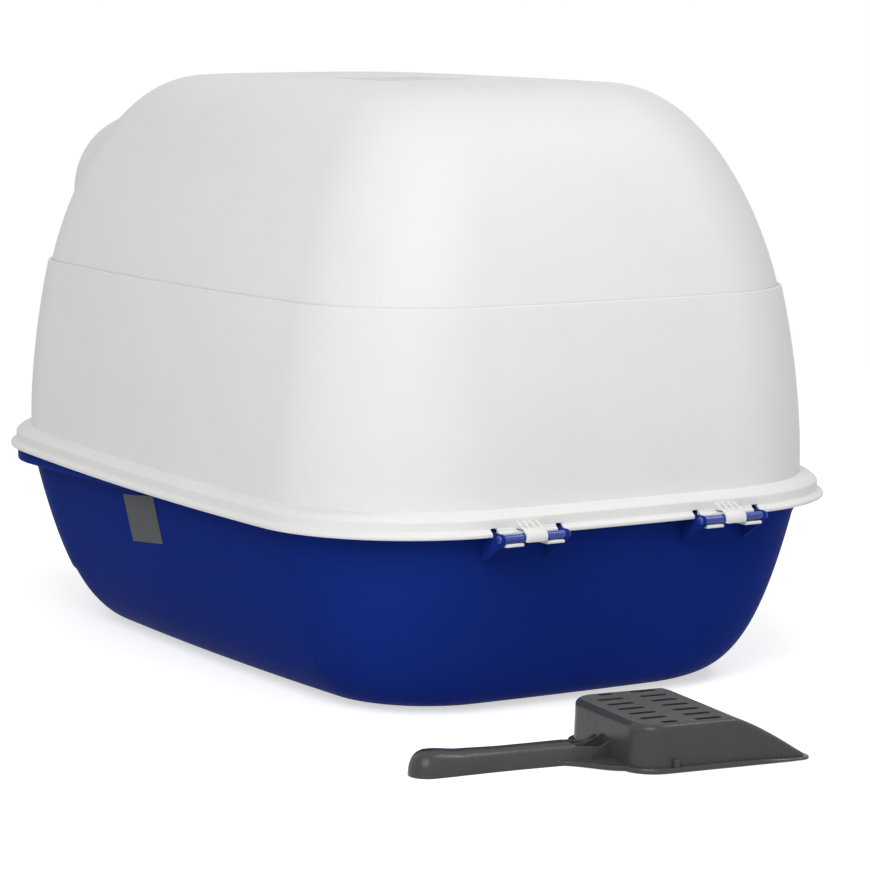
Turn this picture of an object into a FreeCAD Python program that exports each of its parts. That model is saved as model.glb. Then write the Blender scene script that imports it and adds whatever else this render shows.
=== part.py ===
"""A covered litter box: a deep tray, a hinged hood in two parts, a swinging door and a scoop.

Millimetres. The origin is on the floor under the middle of the tray. +Z is up, the entrance faces -Y and the
hinges are at +Y.
"""
import FreeCAD, Part
import math
import os
from dataclasses import dataclass

V = FreeCAD.Vector

# Clearances
RUN_GAP = 0.4            # between a piece that turns or slides and what guides it
SEAT_GAP = 0.3           # between two pieces where one rests on the other
OVERCUT = 5.0            # how far a cutting solid runs past the face it opens
NEAR = 1e-3              # for picking edges by their place

# Lip: the lower edge of the hood, the widest line of the box
LIP_LENGTH = 664.0
LIP_WIDTH = 474.0
LIP_CORNER = 124.0
LIP_BULGE_SIDE = 10.0
LIP_BULGE_END = 6.0
LIP_Z = 140.0
LIP_RISE = 8.0           # the lip climbs by this much towards the front
LIP_RISE_FROM = 110.0    # ahead of this distance from the middle

# Flange of the hood's lower part
FLANGE_WIDTH = 13.0
FLANGE_HEIGHT = 17.5
BEAD_OUT = 3.5           # how far the bead stands out of the flange's face
BEAD_HEIGHT = 2.5
COVE_HEIGHT = 2.5        # the hollow between the bead and the face
FACE_HEIGHT = 7.0
RIDGE_IN = 3.5           # the ridge's rounding, inwards
RIDGE_HEIGHT = 3.8
HOOD_WALL = 2.5

# Skirt: the hood's lower wall, up to the seam
SKIRT_HEIGHT = 141.5     # from the flange to the seam
SKIRT_IN_SIDE = 12.5
SKIRT_IN_END = 13.0
SKIRT_POWER = 1.9
SEAM_CORNER = 106.0
SEAM_BULGE_SIDE = 19.0
SEAM_BULGE_END = 15.5

# Dome: the hood's upper wall, from the seam to the roof
DOME_HEIGHT = 150.0      # from the seam to the roof
DOME_LEAN = 11.3         # degrees from the vertical at the seam
DOME_FOOT_PULL = 59.5    # lengths of the profile curve's two handles
DOME_ROOF_PULL = 57.5
DOME_IN_SIDE = 105.0
DOME_IN_END = 101.5
ROOF_CORNER = 71.0
ROOF_BULGE_SIDE = 15.5
ROOF_BULGE_END = 12.0
SPIGOT_DEPTH = 15.0      # how far the dome stands inside the skirt
LEDGE_WIDTH = 4.0
LEDGE_HEIGHT = 3.0

# Tray
TRAY_WALL = 3.0
TRAY_IN = 16.0           # the tray's wall inside the lip's line, at the lip's height
TRAY_CORNER = 116.0
TRAY_DRAFT = 11.7        # degrees from the vertical at the rim
TRAY_RIM_PULL = 122.0
TRAY_FLOOR_PULL = 42.0
TRAY_IN_SIDE = 89.0
TRAY_IN_END = 92.0
FLOOR_CORNER = 60.0
FLOOR_BULGE_SIDE = 8.3
FLOOR_BULGE_END = 4.8
RIM_GAP = 1.6            # between the tray's rim and the lip's inner face
RIM_BAND = 2.5           # thickness of the turned-down band
RIM_HEIGHT = 13.0

# Hinge: bars between gussets on the tray, hooks and tabs on the skirt
HINGE_FROM_CORNER = 27.0  # a hinge's middle from the end of the straight run
BAR_RADIUS = 3.0
BAR_OUT = 5.5            # the bar's axis outside the lip's line
BAR_DROP = 0.5           # and below its lower edge
GUSSET_SPAN = 53.0       # between the middles of a pair
GUSSET_THICK = 3.0
GUSSET_DEPTH = 20.0
GUSSET_CAP = 1.6         # material round the bar
KNUCKLE_WALL = 2.4
HOOK_WIDTH = 17.0
TAB_GAP = 1.0
RIB_COUNT = 4
RIB_THICK = 1.6
RIB_TALL = 5.0
NOTCH_GAP = 1.2          # beside each gusset in the lip
NOTCH_HEIGHT = 6.0

# Portal and doorway
PORTAL_PROUD = 3.0       # its front plane ahead of the dome's foot
PORTAL_HALF = 146.0
PORTAL_DROP = 32.0       # its top below the roof
PORTAL_CORNER = 66.0
PORTAL_EDGE = 9.0        # rounding of its front edge
DOOR_FRAME = 41.0        # the portal beside the doorway
DOOR_DROP = 15.0         # and above it
SILL_RISE = 47.5         # the doorway above the flange
DOOR_CORNER = 42.0

# Swinging flap
FLAP_THICK = 3.0
FLAP_GAP = 3.0           # between the flap and the doorway
FLAP_BACK = 12.0         # the flap's plane behind the portal's front
FLAP_TAB_HALF = 56.0
FLAP_SHOULDER = 14.0     # the flap's shoulders below its axis
FLAP_BARREL = 4.0
FLAP_PIN = 2.5
FLAP_AXIS_DROP = 6.0     # the axis below the doorway's top
EAR_THICK = 6.0
EAR_RADIUS = 6.0

# Front latches
LATCH_FROM_CORNER = 27.0
LATCH_WIDTH = 28.0
LATCH_THICK = 3.0
LATCH_LENGTH = 20.0
LATCH_NOSE = 13.5
LATCH_NOSE_THICK = 2.0
LATCH_OUT = 9.5          # the pin's axis ahead of the lip's line
LATCH_RISE = 10.0        # and above the lip's lower edge
LATCH_PIN = 1.5
LATCH_BARREL = 3.6
LATCH_EAR_THICK = 3.0
LATCH_EAR_RADIUS = 4.0

# Odour filter under the roof
FILTER_SIZE = 100.0
FILTER_THICK = 8.0
FILTER_TRAY_WALL = 2.0
VENT_COUNT = 7
VENT_LENGTH = 80.0
VENT_WIDTH = 5.0
VENT_PITCH = 12.0

# Blank label on the tray's side
LABEL_LENGTH = 56.0
LABEL_HEIGHT = 38.0
LABEL_Y = -22.0
LABEL_Z = 114.0
LABEL_TURN = 5.5         # its rear end up, degrees
LABEL_THICK = 0.4
GLUE_LINE = 0.2

# Scoop, lying upside down on the floor behind the box
SCOOP_X = 89.0
SCOOP_BEHIND = 99.0      # behind the lip
SCOOP_TURN = 173.0       # direction from its handle to its tip, degrees
PAN_LENGTH = 128.0
PAN_WIDTH = 117.0
PAN_HEIGHT = 32.6
PAN_FLAT = 73.0          # the slotted floor, before it slopes to the tip
PAN_TIP = 2.6
PAN_WALL = 2.2
PAN_CORNER = 20.0
PAN_EDGE = 4.5
PAN_RIM_OUT = 4.0
PAN_RIM_THICK = 3.0
SLOT_ROWS = 2
SLOT_COUNT = 7
SLOT_LENGTH = 20.5
SLOT_WIDTH = 5.0
SLOT_PITCH = 16.3
SLOT_ROW_PITCH = 33.3
SLOT_START = 13.0        # the first row behind the rear wall
SLOT_SHORT = 8.5         # its end slots start later by this
GRIP_LENGTH = 118.0
GRIP_WIDTH = 26.0
GRIP_HEIGHT = 17.0
GRIP_EDGE = 8.0
NECK_LENGTH = 24.0
NECK_HEIGHT = 8.0
HANG_HOLE = 8.0

# Worked out from the driving sizes
FLANGE_TOP = LIP_Z + FLANGE_HEIGHT
SEAM_Z = FLANGE_TOP + SKIRT_HEIGHT
ROOF_Z = SEAM_Z + DOME_HEIGHT
PORTAL_TOP = ROOF_Z - PORTAL_DROP
DOOR_HALF = PORTAL_HALF - DOOR_FRAME
DOOR_TOP = PORTAL_TOP - DOOR_DROP
DOOR_SILL = FLANGE_TOP + SILL_RISE
SCOOP_Y = LIP_LENGTH / 2 + SCOOP_BEHIND
LIP_INSIDE = BEAD_OUT + HOOD_WALL
CEILING_Z = LIP_Z + RIM_HEIGHT
RIM_TOP = CEILING_Z - SEAT_GAP
RIM_BOTTOM = LIP_Z - BAR_DROP
RIM_IN = LIP_INSIDE + RIM_GAP
STEP_IN = HOOD_WALL + RUN_GAP
SPIGOT_Z = SEAM_Z - SPIGOT_DEPTH
BAR_Y = LIP_LENGTH / 2 + BAR_OUT
BAR_Z = LIP_Z - BAR_DROP
KNUCKLE_IN = BAR_RADIUS + RUN_GAP
KNUCKLE_OUT = KNUCKLE_IN + KNUCKLE_WALL
FLAP_AXIS_Z = DOOR_TOP - FLAP_AXIS_DROP
LATCH_AXIS_Z = LIP_Z + LATCH_RISE
GRIP_END = -NECK_LENGTH - GRIP_LENGTH + GRIP_WIDTH / 2


@dataclass(frozen=True)
class Section:
    """A level line of the box: four bulged sides joined by round corners."""

    half_w: float
    half_l: float
    corner: float
    bulge_side: float
    bulge_end: float

    def inset(self, d):
        """The parallel line at the distance d inside this one."""
        side = arc_radius(self.half_l, self.bulge_side) - d
        end = arc_radius(self.half_w, self.bulge_end) - d
        w, l = self.half_w - d, self.half_l - d
        return Section(w, l, self.corner - d, arc_bulge(side, l), arc_bulge(end, w))

    def blend(self, other, t):
        """The line at the share t of the way to another section."""
        return Section(mix(self.half_w, other.half_w, t), mix(self.half_l, other.half_l, t),
                       mix(self.corner, other.corner, t), mix(self.bulge_side, other.bulge_side, t),
                       mix(self.bulge_end, other.bulge_end, t))

    def corner_points(self):
        """One corner arc's centre and the two points where it meets the side and the end."""
        side_x = self.half_w - arc_radius(self.half_l, self.bulge_side)
        end_y = self.half_l - arc_radius(self.half_w, self.bulge_end)
        centre = circles_meet(side_x, self.half_w - side_x - self.corner,
                              end_y, self.half_l - end_y - self.corner)
        on_side = centre + unit(centre - V(side_x, 0, 0)) * self.corner
        on_end = centre + unit(centre - V(0, end_y, 0)) * self.corner
        return centre, on_side, on_end

    def end_run(self):
        """How far the end runs to each side before its corner begins."""
        return self.corner_points()[2].x

    def wire(self, z):
        """The closed line of eight tangent arcs at the height z."""
        centre, on_side, on_end = self.corner_points()
        middle = centre + unit(unit(on_side - centre) + unit(on_end - centre)) * self.corner
        arcs = [((on_side.x, -on_side.y), (self.half_w, 0), (on_side.x, on_side.y))]
        arcs.append(((on_side.x, on_side.y), (middle.x, middle.y), (on_end.x, on_end.y)))
        arcs.append(((on_end.x, on_end.y), (0, self.half_l), (-on_end.x, on_end.y)))
        arcs.append(((-on_end.x, on_end.y), (-middle.x, middle.y), (-on_side.x, on_side.y)))
        turned = [tuple((-x, -y) for x, y in arc) for arc in arcs]
        return Part.Wire([arc_edge(arc, z) for arc in arcs + turned])

    def end_at(self, x):
        """How far the end stands from the middle at the side position x."""
        radius = arc_radius(self.half_w, self.bulge_end)
        return self.half_l - radius + math.sqrt(radius ** 2 - x ** 2)


def mix(a, b, t):
    return a + (b - a) * t


def unit(v):
    return v * (1 / v.Length)


def arc_radius(half, bulge):
    return (half ** 2 + bulge ** 2) / (2 * bulge)


def arc_bulge(radius, half):
    return radius - math.sqrt(radius ** 2 - half ** 2)


def circles_meet(x, radius_x, y, radius_y):
    """The outer meeting point of a circle centred on the X axis and one centred on the Y axis."""
    start = V(x, 0, 0)
    gap = V(-x, y, 0)
    along = (radius_x ** 2 - radius_y ** 2 + gap.Length ** 2) / (2 * gap.Length)
    across = math.sqrt(radius_x ** 2 - along ** 2)
    forward = unit(gap)
    sideways = V(-forward.y, forward.x, 0)
    ends = [start + forward * along + sideways * side * across for side in (1, -1)]
    return max(ends, key=lambda p: p.x + p.y)


def arc_edge(points, z):
    return Part.Arc(*[V(x, y, z) for x, y in points]).toShape()


def curve_point(ends, t):
    """The point of a cubic curve with four control points, and its direction."""
    p0, p1, p2, p3 = ends
    q = 1 - t
    point = p0 * q ** 3 + p1 * (3 * q * q * t) + p2 * (3 * q * t * t) + p3 * t ** 3
    slope = (p1 - p0) * (q * q) + (p2 - p1) * (2 * q * t) + (p3 - p2) * (t * t)
    return point, unit(slope)


def loft(levels, ruled=False):
    """A solid through level lines, given as pairs of a section and a height."""
    return Part.makeLoft([section.wire(z) for section, z in levels], True, ruled)


def prism(points, start, length, axis):
    """A straight solid on a polygon of side and height coordinates, along X or Y."""
    place = {"X": lambda u, v: V(start, u, v), "Y": lambda u, v: V(u, start, v)}[axis]
    way = {"X": V(length, 0, 0), "Y": V(0, length, 0)}[axis]
    corners = [place(u, v) for u, v in points]
    return Part.Face(Part.makePolygon(corners + corners[:1])).extrude(way)


def box(low, high):
    return Part.makeBox(high[0] - low[0], high[1] - low[1], high[2] - low[2], V(*low))


def rod_x(radius, x0, x1, y, z):
    return Part.makeCylinder(radius, x1 - x0, V(x0, y, z), V(1, 0, 0))


def arch(half, sill, top, corner, y0, y1, foot_corner=0.0):
    """An upright arch with round upper corners, and round lower ones if asked for, from y0 to y1."""
    body = box((-half, y0, sill), (half, y1, top))
    upright = [e for e in body.Edges if abs(e.BoundBox.YLength - abs(y1 - y0)) < NEAR]
    upper = [e for e in upright if e.BoundBox.ZMin > (sill + top) / 2]
    body = body.makeFillet(corner, upper)
    if foot_corner:
        low_edges = [e for e in body.Edges if abs(e.BoundBox.YLength - abs(y1 - y0)) < NEAR
                     and e.BoundBox.ZMax < sill + NEAR]
        body = body.makeFillet(foot_corner, low_edges)
    return body


def joined(shape, *others):
    return shape.fuse(list(others)).removeSplitter()


LIP = Section(LIP_WIDTH / 2, LIP_LENGTH / 2, LIP_CORNER, LIP_BULGE_SIDE, LIP_BULGE_END)
FOOT = Section(LIP.half_w - FLANGE_WIDTH, LIP.half_l - FLANGE_WIDTH, LIP_CORNER, LIP_BULGE_SIDE,
               LIP_BULGE_END)
SEAM = Section(FOOT.half_w - SKIRT_IN_SIDE, FOOT.half_l - SKIRT_IN_END, SEAM_CORNER, SEAM_BULGE_SIDE,
               SEAM_BULGE_END)
DOME_FOOT = SEAM.inset(STEP_IN)
ROOF = Section(DOME_FOOT.half_w - DOME_IN_SIDE, DOME_FOOT.half_l - DOME_IN_END, ROOF_CORNER, ROOF_BULGE_SIDE,
               ROOF_BULGE_END)
TRAY_TOP = Section(LIP.half_w - TRAY_IN, LIP.half_l - TRAY_IN, TRAY_CORNER, LIP_BULGE_SIDE, LIP_BULGE_END)
TRAY_FLOOR = Section(TRAY_TOP.half_w - TRAY_IN_SIDE, TRAY_TOP.half_l - TRAY_IN_END, FLOOR_CORNER,
                     FLOOR_BULGE_SIDE, FLOOR_BULGE_END)
PORTAL_Y = -DOME_FOOT.half_l - PORTAL_PROUD
FLAP_Y = PORTAL_Y + FLAP_BACK


def flange_at(inset):
    return LIP.blend(FOOT, inset / FLANGE_WIDTH)


# Tray
TRAY_STEPS = (0.0, 0.15, 0.3, 0.45, 0.6, 0.75, 0.88, 1.0)


def tray_levels(offset):
    """The tray's wall as level lines, moved inwards by an offset along its own normal."""
    draft = math.radians(TRAY_DRAFT)
    rim_way = V(math.sin(draft), -math.cos(draft), 0)
    curve = (V(0, LIP_Z, 0), V(0, LIP_Z, 0) + rim_way * TRAY_RIM_PULL,
             V(TRAY_IN_SIDE - TRAY_FLOOR_PULL, 0, 0), V(TRAY_IN_SIDE, 0, 0))
    levels = []
    for t in TRAY_STEPS:
        point, way = curve_point(curve, t)
        section = TRAY_TOP.blend(TRAY_FLOOR, point.x / TRAY_IN_SIDE).inset(-way.y * offset)
        levels.append((section, point.y + way.x * offset))
    rise = RIM_TOP - LIP_Z + (OVERCUT if offset > 0 else 0.0)
    section, z = levels[0]
    return [(section.inset(-rise * math.tan(draft)), z + rise)] + levels


def rim():
    """The turned-over rim: a flat top and a band that hangs outside the wall."""
    block = loft([(flange_at(RIM_IN), RIM_BOTTOM), (flange_at(RIM_IN), RIM_TOP)], True)
    under = loft([(flange_at(RIM_IN).inset(RIM_BAND), RIM_BOTTOM - OVERCUT),
                  (flange_at(RIM_IN).inset(RIM_BAND), RIM_TOP - TRAY_WALL)], True)
    return block.cut(under)


def gusset(x):
    """One upright fin from the tray's rear wall to the bar."""
    root = TRAY_TOP.half_l - TRAY_WALL
    cap = BAR_RADIUS + GUSSET_CAP
    side = [(root, BAR_Z - GUSSET_DEPTH), (BAR_Y, BAR_Z - cap), (BAR_Y, BAR_Z + cap), (root, BAR_Z + cap)]
    fin = prism(side, x - GUSSET_THICK / 2, GUSSET_THICK, "X")
    return fin.fuse(rod_x(cap, x - GUSSET_THICK / 2, x + GUSSET_THICK / 2, BAR_Y, BAR_Z))


def hinge_sides():
    x = LIP.end_run() - HINGE_FROM_CORNER
    return {"left": -x, "right": x}


def gusset_places():
    return [x + side * GUSSET_SPAN / 2 for x in hinge_sides().values() for side in (-1, 1)]


def bar_ends(x):
    reach = (GUSSET_SPAN + GUSSET_THICK) / 2
    return x - reach, x + reach


def hinge_bar(x):
    return rod_x(BAR_RADIUS, *bar_ends(x), BAR_Y, BAR_Z)


def base_tray():
    outside = loft(tray_levels(0.0))
    fins = [gusset(x) for x in gusset_places()]
    body = joined(outside, rim(), *fins)
    body = body.cut(loft(tray_levels(TRAY_WALL)))
    return body.cut(Part.makeCompound([hinge_bar(x) for x in hinge_sides().values()]))


def blank_label():
    """A thin patch that follows the tray's side."""
    patch = box((0, LABEL_Y - LABEL_LENGTH / 2, LABEL_Z - LABEL_HEIGHT / 2),
                (LIP.half_w, LABEL_Y + LABEL_LENGTH / 2, LABEL_Z + LABEL_HEIGHT / 2))
    patch.rotate(V(0, LABEL_Y, LABEL_Z), V(1, 0, 0), LABEL_TURN)
    return loft(tray_levels(-GLUE_LINE - LABEL_THICK)).common(patch).cut(loft(tray_levels(-GLUE_LINE)))


# Lower hood
SKIRT_STEPS = (0.0, 0.25, 0.5, 0.75, 1.0)


def skirt_section(t):
    """The skirt's line at the share t of its height, with its own rate for the inset."""
    pulled = t ** SKIRT_POWER
    level = FOOT.blend(SEAM, t)
    return Section(mix(FOOT.half_w, SEAM.half_w, pulled), mix(FOOT.half_l, SEAM.half_l, pulled), level.corner,
                   level.bulge_side, level.bulge_end)


def skirt_levels(inset, low, high):
    levels = [(skirt_section(t).inset(inset), mix(FLANGE_TOP, SEAM_Z, t)) for t in SKIRT_STEPS]
    levels.insert(0, (levels[0][0], FLANGE_TOP - low))
    if high:
        levels.append((levels[-1][0], SEAM_Z + high))
    return levels


def flange():
    face_z = LIP_Z + BEAD_HEIGHT + COVE_HEIGHT
    ridge_z = face_z + FACE_HEIGHT
    levels = [(0.0, LIP_Z), (0.0, LIP_Z + BEAD_HEIGHT), (BEAD_OUT, face_z), (BEAD_OUT, ridge_z),
              (BEAD_OUT + RIDGE_IN, ridge_z + RIDGE_HEIGHT), (FLANGE_WIDTH, FLANGE_TOP)]
    return loft([(flange_at(inset), z) for inset, z in levels], True)


def lip_hollow():
    face_z = LIP_Z + BEAD_HEIGHT + COVE_HEIGHT
    levels = [(HOOD_WALL, LIP_Z - OVERCUT), (HOOD_WALL, LIP_Z + BEAD_HEIGHT), (LIP_INSIDE, face_z),
              (LIP_INSIDE, CEILING_Z)]
    return loft([(flange_at(inset), z) for inset, z in levels], True)


def ledge():
    """The ring inside the skirt that the dome stands on."""
    top = SPIGOT_Z - SEAT_GAP
    t = (top - LEDGE_HEIGHT / 2 - FLANGE_TOP) / (SEAM_Z - FLANGE_TOP)
    outside = skirt_section(t).inset(HOOD_WALL / 2)
    inside = DOME_FOOT.inset(LEDGE_WIDTH)
    ring = loft([(outside, top - LEDGE_HEIGHT), (outside, top)], True)
    return ring.cut(loft([(inside, top - LEDGE_HEIGHT - OVERCUT), (inside, top + OVERCUT)], True))


def knuckle(x0, x1, keep):
    """A length of tube round the bar, cut down to the polygon of the part that is kept."""
    tube = rod_x(KNUCKLE_OUT, x0, x1, BAR_Y, BAR_Z)
    return tube.common(prism(keep, x0, x1 - x0, "X"))


def hook(x):
    """The ribbed hook that reaches over a bar from the flange's face."""
    root = LIP.end_at(x) - BEAD_OUT - HOOD_WALL / 2
    x0, x1 = x - HOOK_WIDTH / 2, x + HOOK_WIDTH / 2
    far = BAR_Y + KNUCKLE_OUT
    end = BAR_Z - KNUCKLE_OUT / 2
    curl = knuckle(x0, x1, [(BAR_Y, end), (far, end), (far, BAR_Z + far), (BAR_Y - KNUCKLE_OUT, BAR_Z + far),
                            (BAR_Y - KNUCKLE_OUT, BAR_Z), (BAR_Y, BAR_Z)])
    arm = box((x0, root, BAR_Z + BAR_DROP), (x1, BAR_Y, BAR_Z + KNUCKLE_OUT))
    pitch = (HOOK_WIDTH - RIB_THICK) / (RIB_COUNT - 1)
    top = BAR_Z + KNUCKLE_OUT
    rib = [(root, top - KNUCKLE_WALL), (BAR_Y, top - KNUCKLE_WALL), (BAR_Y, top), (root, top + RIB_TALL)]
    ribs = [prism(rib, x0 + n * pitch, RIB_THICK, "X") for n in range(RIB_COUNT)]
    return curl.fuse([arm] + ribs)


def tab(x, side):
    """One of the two tabs under a bar, between the hook and a gusset."""
    near = HOOK_WIDTH / 2 + TAB_GAP
    wide = GUSSET_SPAN / 2 - GUSSET_THICK / 2 - TAB_GAP
    x0, x1 = sorted((x + side * near, x + side * wide))
    root = LIP.end_at(x0) - BEAD_OUT - HOOD_WALL / 2
    low = BAR_Z - KNUCKLE_OUT
    web = box((x0, root, low), (x1, root + KNUCKLE_WALL, LIP_Z + BEAD_HEIGHT + COVE_HEIGHT))
    blade = box((x0, root, low), (x1, BAR_Y + BAR_RADIUS, low + KNUCKLE_WALL))
    return web.fuse(blade)


def hinge_parts():
    parts = [hook(x) for x in hinge_sides().values()]
    return parts + [tab(x, side) for x in hinge_sides().values() for side in (-1, 1)]


def lip_notches():
    """Room in the lip for the gussets, and for the bars between them."""
    half = GUSSET_THICK / 2 + NOTCH_GAP
    inner = LIP.half_l - RIM_IN
    outer = BAR_Y + KNUCKLE_OUT
    return [box((x - half, inner, LIP_Z - OVERCUT), (x + half, outer, LIP_Z + NOTCH_HEIGHT))
            for x in gusset_places()]


def front_rise():
    """The wedge that trims the lip towards the front."""
    front = -LIP.half_l - LATCH_OUT - OVERCUT
    return prism([(-LIP_RISE_FROM, LIP_Z), (-LIP_RISE_FROM, LIP_Z - OVERCUT), (front, LIP_Z - OVERCUT),
                  (front, LIP_Z + LIP_RISE)], -LIP_WIDTH, 2 * LIP_WIDTH, "X")


def latch_y(x):
    return -LIP.end_at(x) - LATCH_OUT


def latch_ear_places(x):
    half = LATCH_WIDTH / 2 + RUN_GAP
    return (x - half - LATCH_EAR_THICK, x - half), (x + half, x + half + LATCH_EAR_THICK)


def latch_ears(x):
    """The two plates on the flange that carry a latch's pin."""
    y = latch_y(x)
    root = -LIP.end_at(x) + LIP_INSIDE
    plates = []
    for x0, x1 in latch_ear_places(x):
        plate = box((x0, y, LATCH_AXIS_Z - LATCH_EAR_RADIUS / 2), (x1, root, LATCH_AXIS_Z + LATCH_EAR_RADIUS))
        plates.append(plate.fuse(rod_x(LATCH_EAR_RADIUS, x0, x1, y, LATCH_AXIS_Z)))
    return plates


def latch_sides():
    x = LIP.end_run() - LATCH_FROM_CORNER
    return {"left": -x, "right": x}


def latch_pin(x):
    (x0, _), (_, x1) = latch_ear_places(x)
    return rod_x(LATCH_PIN, x0, x1, latch_y(x), LATCH_AXIS_Z)


def doorway(y0, y1):
    return arch(DOOR_HALF, DOOR_SILL, DOOR_TOP, DOOR_CORNER, y0, y1, DOOR_CORNER)


def door_cheeks():
    """The portal's lower end, which runs out into the skirt on both sides of the doorway."""
    below = box((-LIP.half_w, -LIP.half_l, FLANGE_TOP), (LIP.half_w, 0, SEAM_Z))
    return portal(0.0, DOOR_SILL).common(below)


def hood_skirt():
    outside = flange().fuse([loft(skirt_levels(0.0, FACE_HEIGHT, 0.0)), door_cheeks()])
    inside = lip_hollow().fuse(loft(skirt_levels(HOOD_WALL, FLANGE_TOP - CEILING_Z + SEAT_GAP, OVERCUT)))
    body = outside.cut(inside)
    body = body.cut([front_rise()] + lip_notches())
    ears = [ear for x in latch_sides().values() for ear in latch_ears(x)]
    body = joined(body, ledge(), *hinge_parts(), *ears)
    holes = [hinge_room(x) for x in hinge_sides().values()] + [latch_pin(x) for x in latch_sides().values()]
    return body.cut(holes + [doorway(-LIP.half_l, -ROOF.half_l)])


def hinge_room(x):
    """The round room that the bar turns in."""
    return rod_x(KNUCKLE_IN, *bar_ends(x), BAR_Y, BAR_Z)


# Upper hood
DOME_STEPS = (0.15, 0.3, 0.45, 0.6, 0.75, 0.88, 1.0)


def dome_levels(offset):
    """The dome's wall as level lines, moved inwards by an offset along its own normal."""
    lean = math.radians(DOME_LEAN)
    foot = V(0, SEAM_Z, 0)
    curve = (foot, foot + V(math.sin(lean), math.cos(lean), 0) * DOME_FOOT_PULL,
             V(DOME_IN_SIDE - DOME_ROOF_PULL, ROOF_Z, 0), V(DOME_IN_SIDE, ROOF_Z, 0))
    levels = [(DOME_FOOT.inset(offset), SEAM_Z)]
    for t in DOME_STEPS:
        point, way = curve_point(curve, t)
        section = DOME_FOOT.blend(ROOF, point.x / DOME_IN_SIDE).inset(way.y * offset)
        levels.append((section, point.y - way.x * offset))
    return levels


def spigot(inset, low):
    section = DOME_FOOT.inset(inset)
    return loft([(section, SPIGOT_Z - low), (section, SEAM_Z)], True)


def portal(inset, foot):
    """The arched block round the doorway, or its hollow, from the height of its foot."""
    front = PORTAL_Y + inset
    body = arch(PORTAL_HALF - inset, foot, PORTAL_TOP - inset, PORTAL_CORNER - inset, front, -ROOF.half_l)
    rim_edges = [e for e in body.Edges if e.BoundBox.YMax < front + NEAR and e.BoundBox.ZMax > foot + NEAR]
    return body.makeFillet(PORTAL_EDGE - inset, rim_edges)


def flap_ears():
    """The two plates behind the portal's front that carry the flap's pins."""
    plates = []
    for side in (-1, 1):
        x0, x1 = sorted((side * (FLAP_TAB_HALF + RUN_GAP), side * (FLAP_TAB_HALF + RUN_GAP + EAR_THICK)))
        top = PORTAL_TOP - HOOD_WALL / 2
        hanger = box((x0, PORTAL_Y + HOOD_WALL / 2, DOOR_TOP + SEAT_GAP), (x1, FLAP_Y + EAR_RADIUS, top))
        cheek = box((x0, FLAP_Y - EAR_RADIUS, FLAP_AXIS_Z), (x1, FLAP_Y + EAR_RADIUS, top))
        plates += [hanger, cheek, rod_x(EAR_RADIUS, x0, x1, FLAP_Y, FLAP_AXIS_Z)]
    return plates


def flap_pin_reach():
    return FLAP_TAB_HALF + RUN_GAP + EAR_THICK


def vents():
    """The slots of the roof, side by side along the box."""
    slots = []
    for n in range(VENT_COUNT):
        y = (n - (VENT_COUNT - 1) / 2) * VENT_PITCH
        slots.append(box((-VENT_LENGTH / 2, y - VENT_WIDTH / 2, FILTER_Z - FILTER_THICK),
                         (VENT_LENGTH / 2, y + VENT_WIDTH / 2, ROOF_Z + OVERCUT)))
    return slots


def dome():
    outside = joined(loft(dome_levels(0.0)), spigot(0.0, 0.0), portal(0.0, SEAM_Z + SEAT_GAP))
    inside = joined(loft(dome_levels(HOOD_WALL)), spigot(HOOD_WALL, OVERCUT), portal(HOOD_WALL, SEAM_Z))
    body = outside.cut([inside, doorway(PORTAL_Y - OVERCUT, -ROOF.half_l)])
    body = joined(body, *flap_ears())
    reach = flap_pin_reach()
    sockets = rod_x(FLAP_PIN + RUN_GAP, -reach, reach, FLAP_Y, FLAP_AXIS_Z)
    return body.cut([sockets] + vents())


def door_flap():
    """The door: a panel with a narrower head that ends in a barrel and two stub pins."""
    half = DOOR_HALF - FLAP_GAP
    y0, y1 = FLAP_Y - FLAP_THICK / 2, FLAP_Y + FLAP_THICK / 2
    corner = DOOR_CORNER - FLAP_GAP
    shoulder = FLAP_AXIS_Z - FLAP_SHOULDER
    panel = arch(half, DOOR_SILL + FLAP_GAP, shoulder, corner, y0, y1, corner)
    head = box((-FLAP_TAB_HALF, y0, shoulder - corner), (FLAP_TAB_HALF, y1, FLAP_AXIS_Z))
    barrel = rod_x(FLAP_BARREL, -FLAP_TAB_HALF, FLAP_TAB_HALF, FLAP_Y, FLAP_AXIS_Z)
    pins = rod_x(FLAP_PIN, -flap_pin_reach(), flap_pin_reach(), FLAP_Y, FLAP_AXIS_Z)
    return joined(panel, head, barrel, pins)


# Filter
FILTER_TOP = ROOF_Z - HOOD_WALL - SEAT_GAP
FILTER_Z = FILTER_TOP - FILTER_THICK


def carbon_filter():
    half = FILTER_SIZE / 2
    return box((-half, -half, FILTER_Z), (half, half, FILTER_TOP))


def filter_tray():
    """The shallow slotted tray that holds the filter against the roof."""
    hole = FILTER_SIZE / 2 + SEAT_GAP
    half = hole + FILTER_TRAY_WALL
    floor = FILTER_Z - SEAT_GAP
    body = box((-half, -half, floor - FILTER_TRAY_WALL), (half, half, FILTER_TOP))
    body = body.cut(box((-hole, -hole, floor), (hole, hole, ROOF_Z)))
    slots = []
    for n in range(VENT_COUNT):
        y = (n - (VENT_COUNT - 1) / 2) * VENT_PITCH
        slots.append(box((-VENT_LENGTH / 2, y - VENT_WIDTH / 2, floor - OVERCUT),
                         (VENT_LENGTH / 2, y + VENT_WIDTH / 2, floor + SEAT_GAP)))
    return body.cut(slots)


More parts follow.
